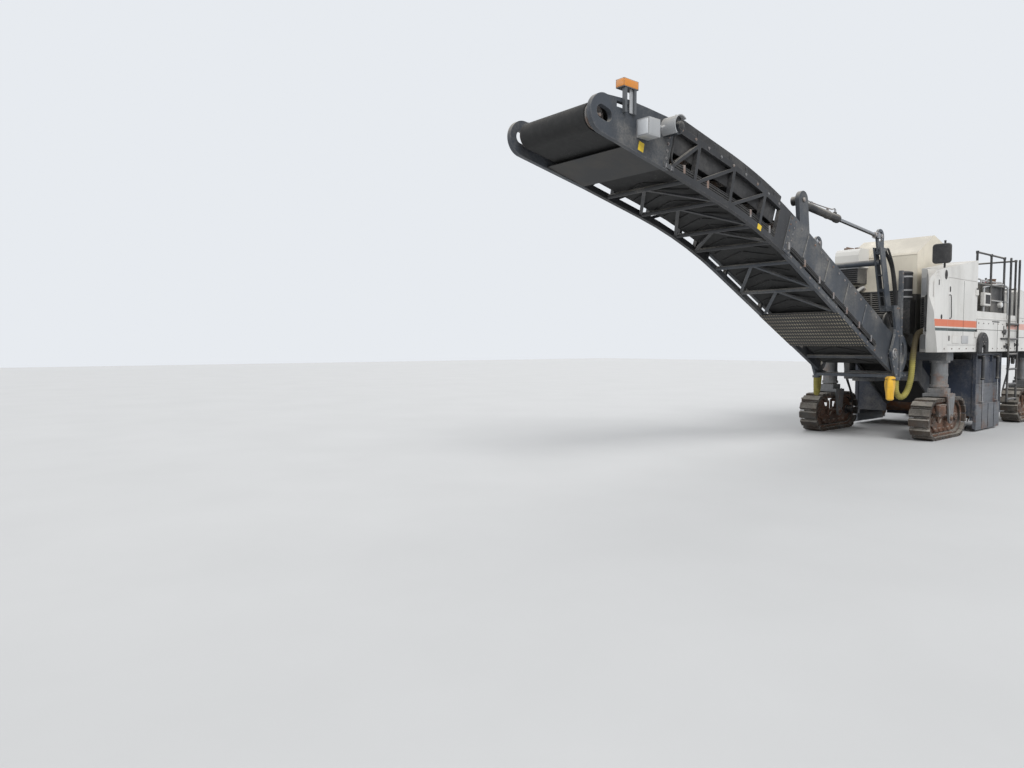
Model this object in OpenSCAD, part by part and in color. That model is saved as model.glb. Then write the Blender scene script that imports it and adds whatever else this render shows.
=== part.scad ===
// Large front-loading cold planer on four crawler tracks, with a milling drum between the axles
// and a slewing, lifting discharge conveyor at the front.
// Millimetres. +X is the direction of travel, +Y the machine's left side, +Z up.
// The modules work from the front axle (x = 0) and the ground (z = 0); row() moves all of it
// so that the origin lies under the middle of the whole machine's box.

/* [Running gear] */
// Distance between the front and the rear lifting columns
wheelbase = 4750; // [4400:50:5000]
// Distance between the left and right track centres
gauge = 1970; // [1940:10:2040]
// Length of one crawler over its shoes
track_l = 1750; // [1650:10:1790]
// Height of one crawler over its shoes
track_h = 720; // [680:10:740]
// Width of a track shoe
shoe_w = 330; // [300:5:340]
// Thickness of a shoe's pad outside the chain
pad_t = 52; // [40:1:60]
// Number of shoes on one crawler
shoe_count = 25; // [23:1:26]
// Outer diameter of a lifting column's sleeve
sleeve_d = 260; // [240:5:280]
// Diameter of the lifting column's inner tube
column_d = 205; // [180:5:215]

/* [Main frame] */
// Height of the main frame's underside above the ground
frame_z = 1370; // [1360:10:1400]
// Depth of the main frame's side members
frame_h = 150; // [130:5:160]
// Width of the bodywork over its sides
body_w = 2400; // [2380:10:2460]
// Rearmost point of the machine behind the front axle
rear_x = 5900; // [5850:10:6000]

/* [Bodywork] */
// Front of the side compartments ahead of the front axle
nose_x = 1000; // [960:10:1020]
// Rear end of the side compartments behind the front axle
nose_rear = 1100; // [1080:10:1160]
// Height of the side compartments at the front
nose_z = 2890; // [2840:10:2920]
// Height of the side compartments at the rear
nose_top = 3190; // [3120:10:3220]
// Height of the operator's deck
deck_z = 2150; // [2120:10:2180]
// Rear edge of the operator's deck behind the front axle
deck_rear = 3450; // [3400:10:3500]
// Height of the engine hood where it meets the deck
hood_z = 2780; // [2720:10:2820]
// Height of the engine hood at the rear
hood_rear_z = 2480; // [2440:10:2520]

/* [Milling gear] */
// Drum axis behind the front axle
drum_x = 2120; // [2100:10:2140]
// Radius of the drum over its tool tips
drum_r = 500; // [480:5:510]
// Width of the drum
drum_w = 2000; // [1960:10:2010]
// Clearance of the tool tips above the ground when parked
drum_gap = 130; // [110:5:150]
// Length of the drum housing
housing_l = 1400; // [1380:10:1430]

/* [Discharge conveyor] */
// Width of the conveyor over its side frames
conv_w = 1320; // [1280:10:1340]
// Rise of the lower part of the conveyor in degrees
rise_low = 25.6; // [24.8:0.2:26.6]
// Rise of the upper part of the conveyor in degrees
rise_high = 12.6; // [12:0.2:14]
// Length of the straight lower part along its chord
low_l = 3600; // [3500:20:3700]
// Length of the bend along its chord
bend_l = 1900; // [1800:20:2000]
// Length of the straight upper part to the head pulley's axis
high_l = 2230; // [2150:10:2300]
// Depth of the lower part with its side skirts
tail_h = 640; // [620:5:660]
// Depth of the truss between its chords' outer faces
truss_h = 580; // [560:5:600]
// Width of the belt
belt_w = 1000; // [900:10:1020]
// Radius of the head pulley with its belt
head_r = 150; // [140:5:160]
// Height of the head pulley's axis above the lower chord
head_h = 185; // [180:5:200]
// Radius of the rounded side plates at the head
head_plate_r = 205; // [200:5:220]

/* [Slewing gear] */
// Slewing axis ahead of the front axle
slew_x = 700; // [690:5:720]
// Lift pivot ahead of the front axle
lift_x = 1250; // [1230:5:1280]
// Height of the lift pivot
lift_z = 1500; // [1480:5:1520]
// Lift cylinder pin on the turret, ahead of the front axle
mast_x = 1500; // [1460:5:1520]
// Height of that pin
mast_z = 3440; // [3420:5:3480]
// Diameter of a lift cylinder's barrel
barrel_d = 115; // [100:1:125]
// Diameter of a lift cylinder's rod
rod_d = 60; // [50:1:70]

/* [Hidden] */
$fn = 48;

// Frame
frame_top = frame_z + frame_h;
beam_y = 600;
beam_w = 100;
low_beam_z = 1000;
low_beam_h = 160;
low_beam_l = 130;
column_y = gauge / 2;
crossbeam_l = 160;
frame_front = 200;
frame_rear = -(rear_x - 150);
sleeve_z = 900;
sleeve_top = 2150;
body_y = body_w / 2;
deck_t = 40;
wall = 40;
// Running fit of a shaft or runner, and clear space between moving pieces
fit = 0.3;
gap = 5;
// Where the four lifting columns stand: x, y, steering sign
columns = [[0, column_y], [0, -column_y], [-wheelbase, column_y], [-wheelbase, -column_y]];

// Milling gear
drum_z = drum_gap + drum_r;
housing_front = -(drum_x - housing_l / 2);
housing_back = -(drum_x + housing_l / 2);
housing_y = drum_w / 2 + 70;
housing_z = 210;

// Conveyor: the spine is the underside of the lower chords, measured along s, with h square to it
pulley_s = 150;
pulley_h = 260;
tail_x = lift_x - pulley_s * cos(rise_low) + pulley_h * sin(rise_low);
tail_z = lift_z - pulley_s * sin(rise_low) - pulley_h * cos(rise_low);
bend_r = bend_l / ((rise_low - rise_high) * PI / 180);
head_s = low_l + bend_l + high_l;
bend_steps = 5;
chord = 80;
frame_t = 60;
conv_y = conv_w / 2;
belt_t = 14;
belt_r = 170;
// The truss is bolted to the lower part here, and the head plates to the truss
join_s = low_l + 300;
boom_end = head_s - 1130;
motor_s = boom_end + 110;

// Angle of the spine at station s
function rise(s) = s <= low_l ? rise_low
    : s >= low_l + bend_l ? rise_high
    : rise_low - (rise_low - rise_high) * (s - low_l) / bend_l;
// Point of the spine at station s
function spine(s) = s <= low_l ? [tail_x + s * cos(rise_low), tail_z + s * sin(rise_low)]
    : s >= low_l + bend_l ? spine_bent(low_l + bend_l)
        + (s - low_l - bend_l) * [cos(rise_high), sin(rise_high)]
    : spine_bent(s);
function spine_bent(s) = spine(low_l)
    + bend_r * [sin(rise_low) - sin(bent(s)), cos(bent(s)) - cos(rise_low)];
function bent(s) = rise_low - (rise_low - rise_high) * (s - low_l) / bend_l;
// Point at station s, lifted h square to the spine
function at(s, h) = spine(s) + h * [-sin(rise(s)), cos(rise(s))];
// Stations from s0 to s1 with the bend's steps between
function stations(s0, s1) = concat([s0],
    [for (i = [0:bend_steps]) let (s = low_l + bend_l * i / bend_steps) if (s > s0 && s < s1) s], [s1]);

tip_x = at(head_s, head_h)[0] + head_plate_r;
knuckle_r = 16;
rear_end = rear_x + 2 * knuckle_r;
origin_x = (tip_x - rear_end) / 2;

// Moves everything from the front axle to the part's own origin
module row() translate([-origin_x, 0, 0]) children();
// Box from three ranges
module block(x, y, z) translate([x[0], y[0], z[0]]) cube([x[1] - x[0], y[1] - y[0], z[1] - z[0]]);
// Profile in X and Z, spread over the range y
module slab_y(y) translate([0, y[1], 0]) rotate([90, 0, 0]) linear_extrude(y[1] - y[0]) children();
// Profile in Y and Z, spread over the range x
module slab_x(x) translate([x[0], 0, 0]) rotate([90, 0, 90]) linear_extrude(x[1] - x[0]) children();
// Profile in X and Y, spread over the range z
module slab_z(z) translate([0, 0, z[0]]) linear_extrude(z[1] - z[0]) children();
// Round bar along Y
module pin_y(x, z, r, y) translate([x, y[0], z]) rotate([-90, 0, 0]) cylinder(r = r, h = y[1] - y[0]);
// The left piece and its mirror image on the right
module both() {
    children();
    mirror([0, 1, 0]) children();
}
// Outline between two heights of the conveyor, from station s0 to s1
module band(s0, s1, h0, h1) {
    low = [for (s = stations(s0, s1)) at(s, h0)];
    high = [for (s = stations(s0, s1)) at(s, h1)];
    n = len(high);
    polygon(concat(low, [for (i = [0:n - 1]) high[n - 1 - i]]));
}
// Where a line from point p touches a circle of radius r round c; side is 1 below and -1 above
function touch(p, c, r, side) = let (d = p - c, a = atan2(d[1], d[0]) + side * acos(r / norm(d)))
    c + r * [cos(a), sin(a)];
// Round bar across the conveyor at station s
module cross_bar(s, h, r, y) {
    p = at(s, h);
    pin_y(p[0], p[1], r, y);
}
// Flat strut in X and Z between two points, w wide
module strut(a, b, w) {
    d = b - a;
    l = norm(d);
    translate(a) rotate(atan2(d[1], d[0])) translate([0, -w / 2]) square([l, w]);
}

// Yellow hoses from the side compartments down and up to the turret: the left route, the right is its mirror
hose_r = 52;
hose_gland_l = 40;
hose_end = [1120, 700];
// Middle of the gland on the slanting front of the side compartment, and the way that front faces
hose_gland = [600, 959.4, 1880];
hose_gland_a = -68.4;
hose_out = [cos(hose_gland_a), sin(hose_gland_a), 0];
hose_route = [hose_gland + 41 * hose_out, hose_gland + 60 * hose_out, [640, 862, 1850], [662, 836, 1780],
    [690, 822, 1660], [716, 815, 1520], [738, 812, 1380], [758, 812, 1220], [790, 810, 1060], [838, 798, 920],
    [905, 778, 812], [985, 752, 758], [1050, 726, 770], [1098, 706, 830], [1118, 700, 900], [1120, 700, 970],
    [1120, 700, 1049]];
hose_sides = 10;

function unit(v) = v / norm(v);
// Direction of the route at point i
function heading(p, i) = unit(p[min(i + 1, len(p) - 1)] - p[max(i - 1, 0)]);
// Ring of points round the route at point i, turned so that no ring twists against the next
function ring(p, i, r) = let (d = heading(p, i), u = unit(cross(d, [0.9, 0.44, 0])), v = cross(d, u))
    [for (k = [0:hose_sides - 1]) p[i] + r * (u * cos(k * 360 / hose_sides) + v * sin(k * 360 / hose_sides))];
module hose(p, r) {
    n = len(p);
    m = hose_sides;
    points = [for (i = [0:n - 1]) each ring(p, i, r)];
    sides = [for (i = [0:n - 2]) for (k = [0:m - 1])
        [i * m + k, i * m + (k + 1) % m, (i + 1) * m + (k + 1) % m, (i + 1) * m + k]];
    ends = [[for (k = [0:m - 1]) m - 1 - k], [for (k = [0:m - 1]) (n - 1) * m + k]];
    polyhedron(points, concat(sides, ends), convexity = 4);
}
module hose_left() color("#8c8636") row() hose(hose_route, hose_r);
module hose_right() color("#8c8636") row() mirror([0, 1, 0]) hose(hose_route, hose_r);

// Tow eyes under the rear of the frame
tow_r = 32;
tow_t = 50;
tow_y = 500;
tow_z = 1270;
tow_x = frame_rear - 20;

// Frame with its crossbeams and the low beam that passes under the primary conveyor
module main_frame() color("#2f3740") row() difference() {
    union() {
        both() {
            block([frame_rear, frame_front], [beam_y - beam_w / 2, beam_y + beam_w / 2], [frame_z, frame_top]);
            block([-crossbeam_l, crossbeam_l], [beam_y - beam_w, column_y + crossbeam_l], [frame_z, frame_top]);
            block([-low_beam_l, low_beam_l], [beam_y - beam_w / 2, beam_y + beam_w / 2],
                [low_beam_z, frame_z]);
        }
        block([-low_beam_l, low_beam_l], [-beam_y, beam_y], [low_beam_z, low_beam_z + low_beam_h]);
        block([-wheelbase - crossbeam_l, -wheelbase + crossbeam_l],
            [-column_y - crossbeam_l, column_y + crossbeam_l], [frame_z, frame_top]);
        block([frame_rear - beam_w, frame_rear], [-beam_y - beam_w / 2, beam_y + beam_w / 2],
            [frame_z, frame_top]);
        both() slab_y([tow_y, tow_y + tow_t]) {
            translate([tow_x, tow_z]) circle(r = 2 * tow_r);
            translate([tow_x - 2 * tow_r, tow_z]) square([4 * tow_r, frame_z + 20 - tow_z]);
        }
    }
    for (c = columns) translate([c[0], c[1], frame_z - 1]) cylinder(r = sleeve_d / 2 + fit, h = frame_h + 2);
    both() pin_y(tow_x, tow_z, tow_r, [tow_y - 1, tow_y + tow_t + 1]);
}

// Fixed sleeves of the lifting columns, each with a collar at its foot
module column_sleeves() color("#8d9094") row() for (c = columns) translate([c[0], c[1], 0]) difference() {
    union() {
        translate([0, 0, sleeve_z]) cylinder(r = sleeve_d / 2, h = sleeve_top - sleeve_z);
        translate([0, 0, sleeve_z]) cylinder(r = sleeve_d / 2 + 18, h = 40);
        translate([0, 0, frame_z - 30]) cylinder(r = sleeve_d / 2 + 30, h = 30);
    }
    translate([0, 0, sleeve_z - 1]) cylinder(r = column_d / 2 + fit, h = sleeve_top - sleeve_z + 2);
}

// Bracket with the lower slewing ring, on the low beam
slew_ring_r = 210;
slew_ring_h = 60;
slew_pin_r = 90;
turret_z = low_beam_z + slew_ring_h + 30;
module slew_bracket() color("#2b3036") row() {
    block([low_beam_l, slew_x], [-slew_ring_r, slew_ring_r], [low_beam_z, low_beam_z + slew_ring_h]);
    translate([slew_x, 0, low_beam_z]) cylinder(r = slew_ring_r, h = slew_ring_h);
    translate([slew_x, 0, low_beam_z]) cylinder(r = slew_pin_r, h = slew_ring_h + 30 + turret_base_t);
}

// Lifting column's inner tube, its flange and the fork over the crawler
fork_z = track_h + 20;
fork_t = 50;
fork_l = 170;
cheek_t = 28;
leg_box_x = 150;
leg_box_y = 135;
cheek_y = shoe_w / 2 + 14;
pivot_z = track_h / 2;
module leg() {
    translate([0, 0, fork_z + fork_t]) cylinder(r = column_d / 2, h = sleeve_top - 60 - fork_z - fork_t);
    block([-leg_box_x, leg_box_x], [-leg_box_y, leg_box_y], [fork_z + fork_t - 1, sleeve_z - 20]);
    block([-fork_l, fork_l], [-cheek_y - cheek_t, cheek_y + cheek_t], [fork_z, fork_z + fork_t]);
    both() slab_y([cheek_y, cheek_y + cheek_t]) difference() {
        union() {
            polygon([[-fork_l, fork_z + fork_t], [fork_l, fork_z + fork_t], [90, pivot_z], [-90, pivot_z]]);
            translate([0, pivot_z]) circle(r = 90);
        }
        translate([0, pivot_z]) circle(r = pivot_r + fit);
    }
}
pivot_r = 45;

// Crawler: side frames, idler, sprocket, road rollers and pivot
wheel_x = (track_l - track_h) / 2;
chain_t = 58;
chain_w = 190;
chain_r = track_h / 2 - pad_t;
wheel_r = chain_r - chain_t - fit;
roller_r = 62;
roller_pitch = 190;
arm_y = 62;
arm_t = 26;
beam_top = 330;
beam_foot = 400;
hub_r = 115;
carrier_x = 215;
carrier_r = 42;
module crawler_frame() {
    for (x = [-wheel_x, wheel_x]) {
        pin_y(x, pivot_z, wheel_r, [-arm_y + 8, arm_y - 8]);
        pin_y(x, pivot_z, 70, [-arm_y - arm_t - 16, arm_y + arm_t + 16]);
    }
    both() slab_y([arm_y, arm_y + arm_t]) {
        polygon([[-beam_top, pivot_z - 80], [beam_top, pivot_z - 80], [beam_foot, roller_z - 45],
            [-beam_foot, roller_z - 45]]);
        for (i = [-1, 1]) {
            translate([i * wheel_x, pivot_z]) circle(r = hub_r);
            polygon([[i * wheel_x, pivot_z + hub_r / 2], [i * (beam_top - 60), pivot_z - 81],
                [i * beam_foot, roller_z - 40], [i * wheel_x, pivot_z - hub_r * 0.8]]);
        }
        polygon([[-150, pivot_z - 81], [150, pivot_z - 81], [70, pivot_z], [-70, pivot_z]]);
        translate([0, pivot_z]) circle(r = 80);
    }
    for (i = [-2:2]) pin_y(i * roller_pitch, roller_z, roller_r, [-arm_y - 1, arm_y + 1]);
    block([-200, 200], [-arm_y - 1, arm_y + 1], [pivot_z - 120, pivot_z - 85]);
    for (x = [-carrier_x, carrier_x]) {
        pin_y(x, pivot_z + chain_r - chain_t - carrier_r - fit, carrier_r, [-arm_y + 8, arm_y - 8]);
        pin_y(x, pivot_z + chain_r - chain_t - carrier_r - fit, 16, [-arm_y - 1, arm_y + 1]);
        both() slab_y([arm_y, arm_y + arm_t]) polygon([[x - 30, pivot_z - 81], [x + 30, pivot_z - 81],
            [x + 24, pivot_z + chain_r - chain_t - carrier_r], [x - 24, pivot_z + chain_r - chain_t - carrier_r]]);
    }
    pin_y(0, pivot_z, pivot_r, [-cheek_y - cheek_t - 12, cheek_y + cheek_t + 12]);
}
roller_z = pad_t + chain_t + roller_r + fit;

// Chain loop with its shoes, fixed as one loop
loop_straight = 2 * wheel_x;
loop_length = 2 * loop_straight + 2 * PI * chain_r;
shoe_pitch = loop_length / shoe_count;
shoe_l = shoe_pitch * 0.93;
shoe_plate = 14;
// Place and heading on the loop at distance d: x, z, angle
function loop_at(d) = let (l = loop_straight, c = PI * chain_r)
    d < l ? [-l / 2 + d, pivot_z + chain_r, 0]
    : d < l + c ? let (a = (d - l) / chain_r * 180 / PI)
        [l / 2 + chain_r * sin(a), pivot_z + chain_r * cos(a), -a]
    : d < 2 * l + c ? [l / 2 - (d - l - c), pivot_z - chain_r, 180]
    : let (a = (d - 2 * l - c) / chain_r * 180 / PI)
        [-l / 2 - chain_r * sin(a), pivot_z - chain_r * cos(a), 180 - a];
module stadium(r) {
    for (x = [-wheel_x, wheel_x]) translate([x, pivot_z]) circle(r = r);
    translate([-wheel_x, pivot_z - r]) square([2 * wheel_x, 2 * r]);
}
module track() {
    slab_y([-chain_w / 2, chain_w / 2]) difference() {
        stadium(chain_r);
        stadium(chain_r - chain_t);
    }
    slab_y([-shoe_w / 2, shoe_w / 2]) for (i = [0:shoe_count - 1]) {
        // counted from the middle of the lower run, so that no shoe tips below it
        p = loop_at((i * shoe_pitch + 1.5 * loop_straight + PI * chain_r) % loop_length);
        translate([p[0], p[1]]) rotate(p[2]) polygon([[-shoe_l / 2, -6], [shoe_l / 2, -6],
            [shoe_l / 2, shoe_plate], [shoe_l / 2 - 6, shoe_plate], [shoe_l / 2 - 18, pad_t],
            [18 - shoe_l / 2, pad_t], [6 - shoe_l / 2, shoe_plate], [-shoe_l / 2, shoe_plate]]);
    }
}
module corner(i) row() translate([columns[i][0], columns[i][1], 0]) children();
module leg_front_left() color("#8f9296") corner(0) leg();
module leg_front_right() color("#8f9296") corner(1) leg();
module leg_rear_left() color("#8f9296") corner(2) leg();
module leg_rear_right() color("#8f9296") corner(3) leg();
module crawler_front_left() color("#4a3a30") corner(0) crawler_frame();
module crawler_front_right() color("#4a3a30") corner(1) crawler_frame();
module crawler_rear_left() color("#4a3a30") corner(2) crawler_frame();
module crawler_rear_right() color("#4a3a30") corner(3) crawler_frame();
module track_front_left() color("#5b4636") corner(0) track();
module track_front_right() color("#5b4636") corner(1) track();
module track_rear_left() color("#5b4636") corner(2) track();
module track_rear_right() color("#5b4636") corner(3) track();

// Side compartment beside the primary conveyor. Its front slants inward, clear of the slewing turret,
// and leans forward up to a rounded cap.
nose_inner = 700;
nose_inner_front = 900;
nose_round = 60;
nose_lean = 260;
nose_lean_z = 1950;
door_front = 320;
door_rear = -(nose_rear - 45);
door_z = 1640;
door_top = 2800;
door_t = 32;
// Outline from above, and t inside it
module nose_plan() polygon([[-nose_rear, nose_inner], [150, nose_inner], [250, nose_inner_front],
    [450, nose_inner_front], [nose_x - 70, body_y - 110], [nose_x, body_y - nose_round - 10],
    [nose_x, body_y - nose_round], [nose_x - nose_round, body_y], [-nose_rear, body_y]]);
module nose_plan_inner(t) polygon([[-nose_rear + t, nose_inner + t], [150 - 0.62 * t, nose_inner + t],
    [250 - 0.62 * t, nose_inner_front + t], [450 - 0.19 * t, nose_inner_front + t],
    [nose_x - 70 - 0.44 * t, body_y - 110 + 0.9 * t], [nose_x - 70 - 0.44 * t, body_y - t],
    [-nose_rear + t, body_y - t]]);
// Outline from the side, t inside its walls
module nose_side(t) polygon([[-nose_rear + t, frame_top + t], [nose_x - nose_lean - 0.73 * t, frame_top + t],
    [nose_x - 120 - 1.04 * t, nose_lean_z], [nose_x - 1.02 * t, nose_z - 440], [nose_x - t, nose_z - 190],
    [nose_x - 15 - t, nose_z - 120], [nose_x - 60 - 0.8 * t, nose_z - 50 - 0.5 * t],
    [nose_x - 120 - 0.4 * t, nose_z - 12 - 0.9 * t], [nose_x - 180 - 0.1 * t, nose_z - t],
    [-nose_rear + t, nose_top - t]]);
module nose() difference() {
    union() {
        intersection() {
            slab_z([frame_top, nose_top]) nose_plan();
            slab_y([0, body_y + 1]) nose_side(0);
        }
        translate(hose_gland) rotate([0, 0, hose_gland_a]) rotate([0, 90, 0])
            translate([0, 0, -20]) cylinder(r = hose_r + 14, h = 60);
    }
    intersection() {
        slab_z([frame_top + wall, nose_top - wall]) nose_plan_inner(wall);
        slab_y([0, body_y + 1]) nose_side(wall);
    }
    translate([0, column_y, 0]) cylinder(r = sleeve_d / 2 + fit, h = frame_top + 2 * wall);
    block([door_rear, door_front], [body_y - door_t - gap, body_y + 1], [door_z, door_top]);
    block([door_rear + 60, door_front - 60], [body_y - 2 * wall, body_y + 1], [door_z + 60, door_top - 60]);
}
module nose_left() color("#d9d6cf") row() nose();
module nose_right() color("#d9d6cf") row() mirror([0, 1, 0]) nose();
module door() {
    block([door_rear + gap, door_front - gap], [body_y - door_t, body_y], [door_z + gap, door_top - gap]);
    for (z = [door_z + 200, door_top - 200]) {
        translate([door_rear - gap, body_y + knuckle_r + fit, z - 50]) cylinder(r = knuckle_r, h = 100);
        block([door_rear - gap, door_rear + 60], [body_y + fit, body_y + knuckle_r], [z - 50, z + 50]);
        block([door_rear + gap, door_rear + 60], [body_y - 1, body_y + knuckle_r], [z - 50, z + 50]);
    }
}
module door_left() color("#dcd9d2") row() door();
module door_right() color("#dcd9d2") row() mirror([0, 1, 0]) door();

// Wedge hood over the middle, between the side compartments
hood_y = [-690, 600];
hood_front = 90;
hood_peak = [-670, 3670];
module hood_side(t) polygon([[-nose_rear + t, frame_top + 400], [-nose_rear + t, hood_peak[1] - 110 - t],
    [hood_peak[0], hood_peak[1] - t], [hood_front - 30 - t, hood_peak[1] - 360 - t],
    [hood_front - t, hood_peak[1] - 400], [hood_front - t, frame_top + 400]]);
module centre_hood() color("#d8cfb8") row() {
    hood_shell();
    hood_lobe();
}
module hood_shell() difference() {
    union() {
        slab_y(hood_y) hood_side(0);
        slab_y([hood_y[0], hood_y[0] + wall]) translate([-nose_rear, frame_top])
            square([nose_rear + hood_front, 400]);
        slab_y([hood_y[1] - wall, hood_y[1]]) translate([-nose_rear, frame_top])
            square([nose_rear + hood_front, 400]);
    }
    slab_y([hood_y[0] + wall, hood_y[1] - wall]) union() {
        hood_side(wall);
        translate([-nose_rear + wall, frame_top - 1]) square([nose_rear + hood_front - 2 * wall, 402]);
    }
}
// Rounded intake on the right of the hood's front
lobe_x = 520;
lobe_y = [-690, -250];
lobe_z = [3080, 3430];
module hood_lobe() slab_y(lobe_y) polygon([[-180, 3400], [hood_front - 1, lobe_z[0]], [lobe_x - 60, lobe_z[0]],
    [lobe_x - 18, lobe_z[0] + 18], [lobe_x, lobe_z[0] + 60], [lobe_x, lobe_z[1] - 130], [lobe_x - 25, lobe_z[1] - 60],
    [lobe_x - 80, lobe_z[1] - 15], [lobe_x - 150, lobe_z[1]], [-180, lobe_z[1]]]);

// Operator's platform: deck, side panels and the bulkheads that stand on the frame
module platform() color("#d5d2ca") row() {
    block([-deck_rear, -nose_rear], [-body_y, body_y], [deck_z - deck_t, deck_z]);
    both() block([-deck_rear, -nose_rear], [body_y - wall, body_y], [frame_top, deck_z - deck_t + 1]);
    for (x = [-nose_rear - wall, -(nose_rear + deck_rear) / 2, -deck_rear])
        block([x, x + wall], [-body_y + 1, body_y - 1], [frame_top, deck_z - deck_t + 1]);
}

// Handrails round the deck, open where the ladders come up
rail_r = 20;
rail_z = deck_z + 1200;
rail_y = body_y - 40;
ladder_x = [-deck_rear + 100, -deck_rear + 650];
rail_mid = deck_z + 630;
module tube_z(x, y, z, r) translate([x, y, z[0]]) cylinder(r = r, h = z[1] - z[0]);
module tube_x(x, y, z, r) translate([x[0], y, z]) rotate([0, 90, 0]) cylinder(r = r, h = x[1] - x[0]);
module handrails() color("#3a3d40") row() {
    both() {
        for (x = [-nose_rear - 60, -(nose_rear + deck_rear - 690) / 2, -deck_rear + 750]) tube_z(x, rail_y, [deck_z, rail_z], rail_r);
        for (z = [rail_mid, rail_z]) tube_x([-deck_rear + 750, -nose_rear - 60], rail_y, z, rail_r * 0.9);
        tube_z(-deck_rear + 40, rail_y, [deck_z, rail_z], rail_r);
    }
    for (z = [rail_mid, rail_z]) pin_y(-deck_rear + 40, z, rail_r * 0.9, [-rail_y, rail_y]);
}

// Ladders up to the deck on both sides
module ladder() {
    for (x = ladder_x) {
        tube_z(x, body_y + 45, [520, rail_z], rail_r);
        for (z = [1650, 2050]) pin_y(x, z, rail_r * 0.8, [body_y, body_y + 45]);
    }
    for (z = [560:300:2060]) tube_x(ladder_x, body_y + 45, z, rail_r * 0.8);
}
module ladders() color("#34373a") row() both() ladder();

// Operator's consoles
module consoles() color("#25292d") row() {
    both() block([-deck_rear + 600, -nose_rear - 500], [body_y - 300, body_y - 80], [deck_z, deck_z + 650]);
    block([-nose_rear - 320, -nose_rear - 60], [-500, 500], [deck_z, deck_z + 800]);
}

// Engine, one plain block on the frame
module engine() color("#3c3f3a") row()
    block([-rear_x + 550, -deck_rear - 300], [-beam_y - beam_w / 2, beam_y + beam_w / 2], [frame_top, hood_seam - 60]);

// Rear body round the engine
hood_seam = 2200;
module rear_body() color("#d3d0c8") row() difference() {
    block([-rear_x, -deck_rear], [-body_y, body_y], [frame_top, hood_seam - gap]);
    block([-rear_x + wall, -deck_rear - wall], [-body_y + wall, body_y - wall],
        [frame_top - 1, hood_seam]);
}

// Engine hood, hinged at its rear edge
module hood_profile(t) polygon([[-rear_x + t, hood_seam], [-rear_x + t, hood_rear_z - t],
    [-rear_x + 160, hood_rear_z + 60 - t], [-deck_rear - 200, hood_z - t], [-deck_rear - gap - t, hood_z - 60 - t],
    [-deck_rear - gap - t, hood_seam]]);
hood_hinge_x = -rear_x - knuckle_r - fit;
hood_hinge_z = hood_seam - knuckle_r - gap;
module engine_hood() color("#d8d5cd") row() {
    difference() {
        slab_y([-body_y, body_y]) hood_profile(0);
        slab_y([-body_y + wall, body_y - wall]) translate([0, -1]) hood_profile(wall);
        slab_y([-body_y + wall, body_y - wall]) translate([-rear_x + wall, hood_seam - 1])
            square([rear_x - deck_rear - gap - 2 * wall, 20]);
    }
    both() {
        pin_y(hood_hinge_x, hood_hinge_z, knuckle_r, [700, 800]);
        block([hood_hinge_x, -rear_x - fit], [700, 800], [hood_hinge_z, hood_seam + 60]);
        block([hood_hinge_x, -rear_x + 1], [700, 800], [hood_seam, hood_seam + 60]);
    }
}

// Housing round the milling drum
housing_side_z = frame_top - 30;
stub_r = 90;
gate_hinge = [housing_back - 45, 1230];
module drum_housing() color("#1f2733") row() {
    both() slab_y([housing_y - wall, housing_y]) difference() {
        translate([housing_back, housing_z]) square([housing_l, housing_side_z - housing_z]);
        translate([-drum_x, drum_z]) circle(r = stub_r + fit);
    }
    block([housing_back, housing_front], [-housing_y + 1, housing_y - 1], [frame_z - wall, frame_z]);
    // front wall, open in the middle where the primary conveyor takes the millings
    slab_x([housing_front - wall, housing_front]) difference() {
        translate([-housing_y + 1, 300]) square([2 * housing_y - 2, frame_z - 300 - 1]);
        translate([-prim_y - 30, 250]) square([2 * prim_y + 60, 750]);
    }
    // cross tube and lugs for the rear gate
    block([housing_back, housing_back + wall], [-housing_y + 1, housing_y - 1], [1290, frame_z - 1]);
    for (y = [-700, 0, 700]) slab_y([y - 15, y + 15]) difference() {
        union() {
            translate([gate_hinge[0], gate_hinge[1]]) circle(r = 50);
            polygon([[gate_hinge[0] - 48, gate_hinge[1] + 15], [housing_back + 1, 1330],
                [housing_back + 1, 1295], [gate_hinge[0] + 48, gate_hinge[1] + 15]]);
        }
        translate([gate_hinge[0], gate_hinge[1]]) circle(r = gate_pin + fit);
    }
    // runners of the edge plates
    both() for (x = [housing_back - 30, housing_front - 30])
        block([x + 15, x + 45], [housing_y - 1, housing_y + plate_gap + plate_t + 20],
            [300, housing_side_z]);
}
gate_pin = 25;
gate_z = 140;
gate_top = gate_hinge[1] - 90;

// Edge plates beside the drum, with worn skids along their foot
plate_gap = 8;
plate_t = 30;
plate_x = [housing_back + 15 + fit, housing_front - 15 - fit];
plate_z = 60;
plate_top = 900;
module edge_plate() {
    block(plate_x, [housing_y + plate_gap, housing_y + plate_gap + plate_t], [plate_z, plate_top]);
    for (i = [0:3]) block([plate_x[0] + 30 + i * 340, plate_x[0] + 330 + i * 340],
        [housing_y + plate_gap + plate_t - 1, housing_y + plate_gap + plate_t + 22], [plate_z - 25, 520]);
}
module edge_plate_left() color("#6d7278") row() edge_plate();
module edge_plate_right() color("#6d7278") row() mirror([0, 1, 0]) edge_plate();

// Rear gate behind the drum, hung from a pin
module rear_gate() color("#2a323c") row() {
    pin_y(gate_hinge[0], gate_hinge[1], gate_pin, [-housing_y + 80, housing_y - 80]);
    slab_y([-housing_y + 10, housing_y - 10]) translate([gate_hinge[0] - 20, gate_z]) square([40, gate_top - gate_z]);
    for (y = [-850, -350, 350, 850]) slab_y([y - 60, y + 60])
        translate([gate_hinge[0] - 20, gate_top - 10]) square([40, gate_hinge[1] + 10 - gate_top + 10]);
}

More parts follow.
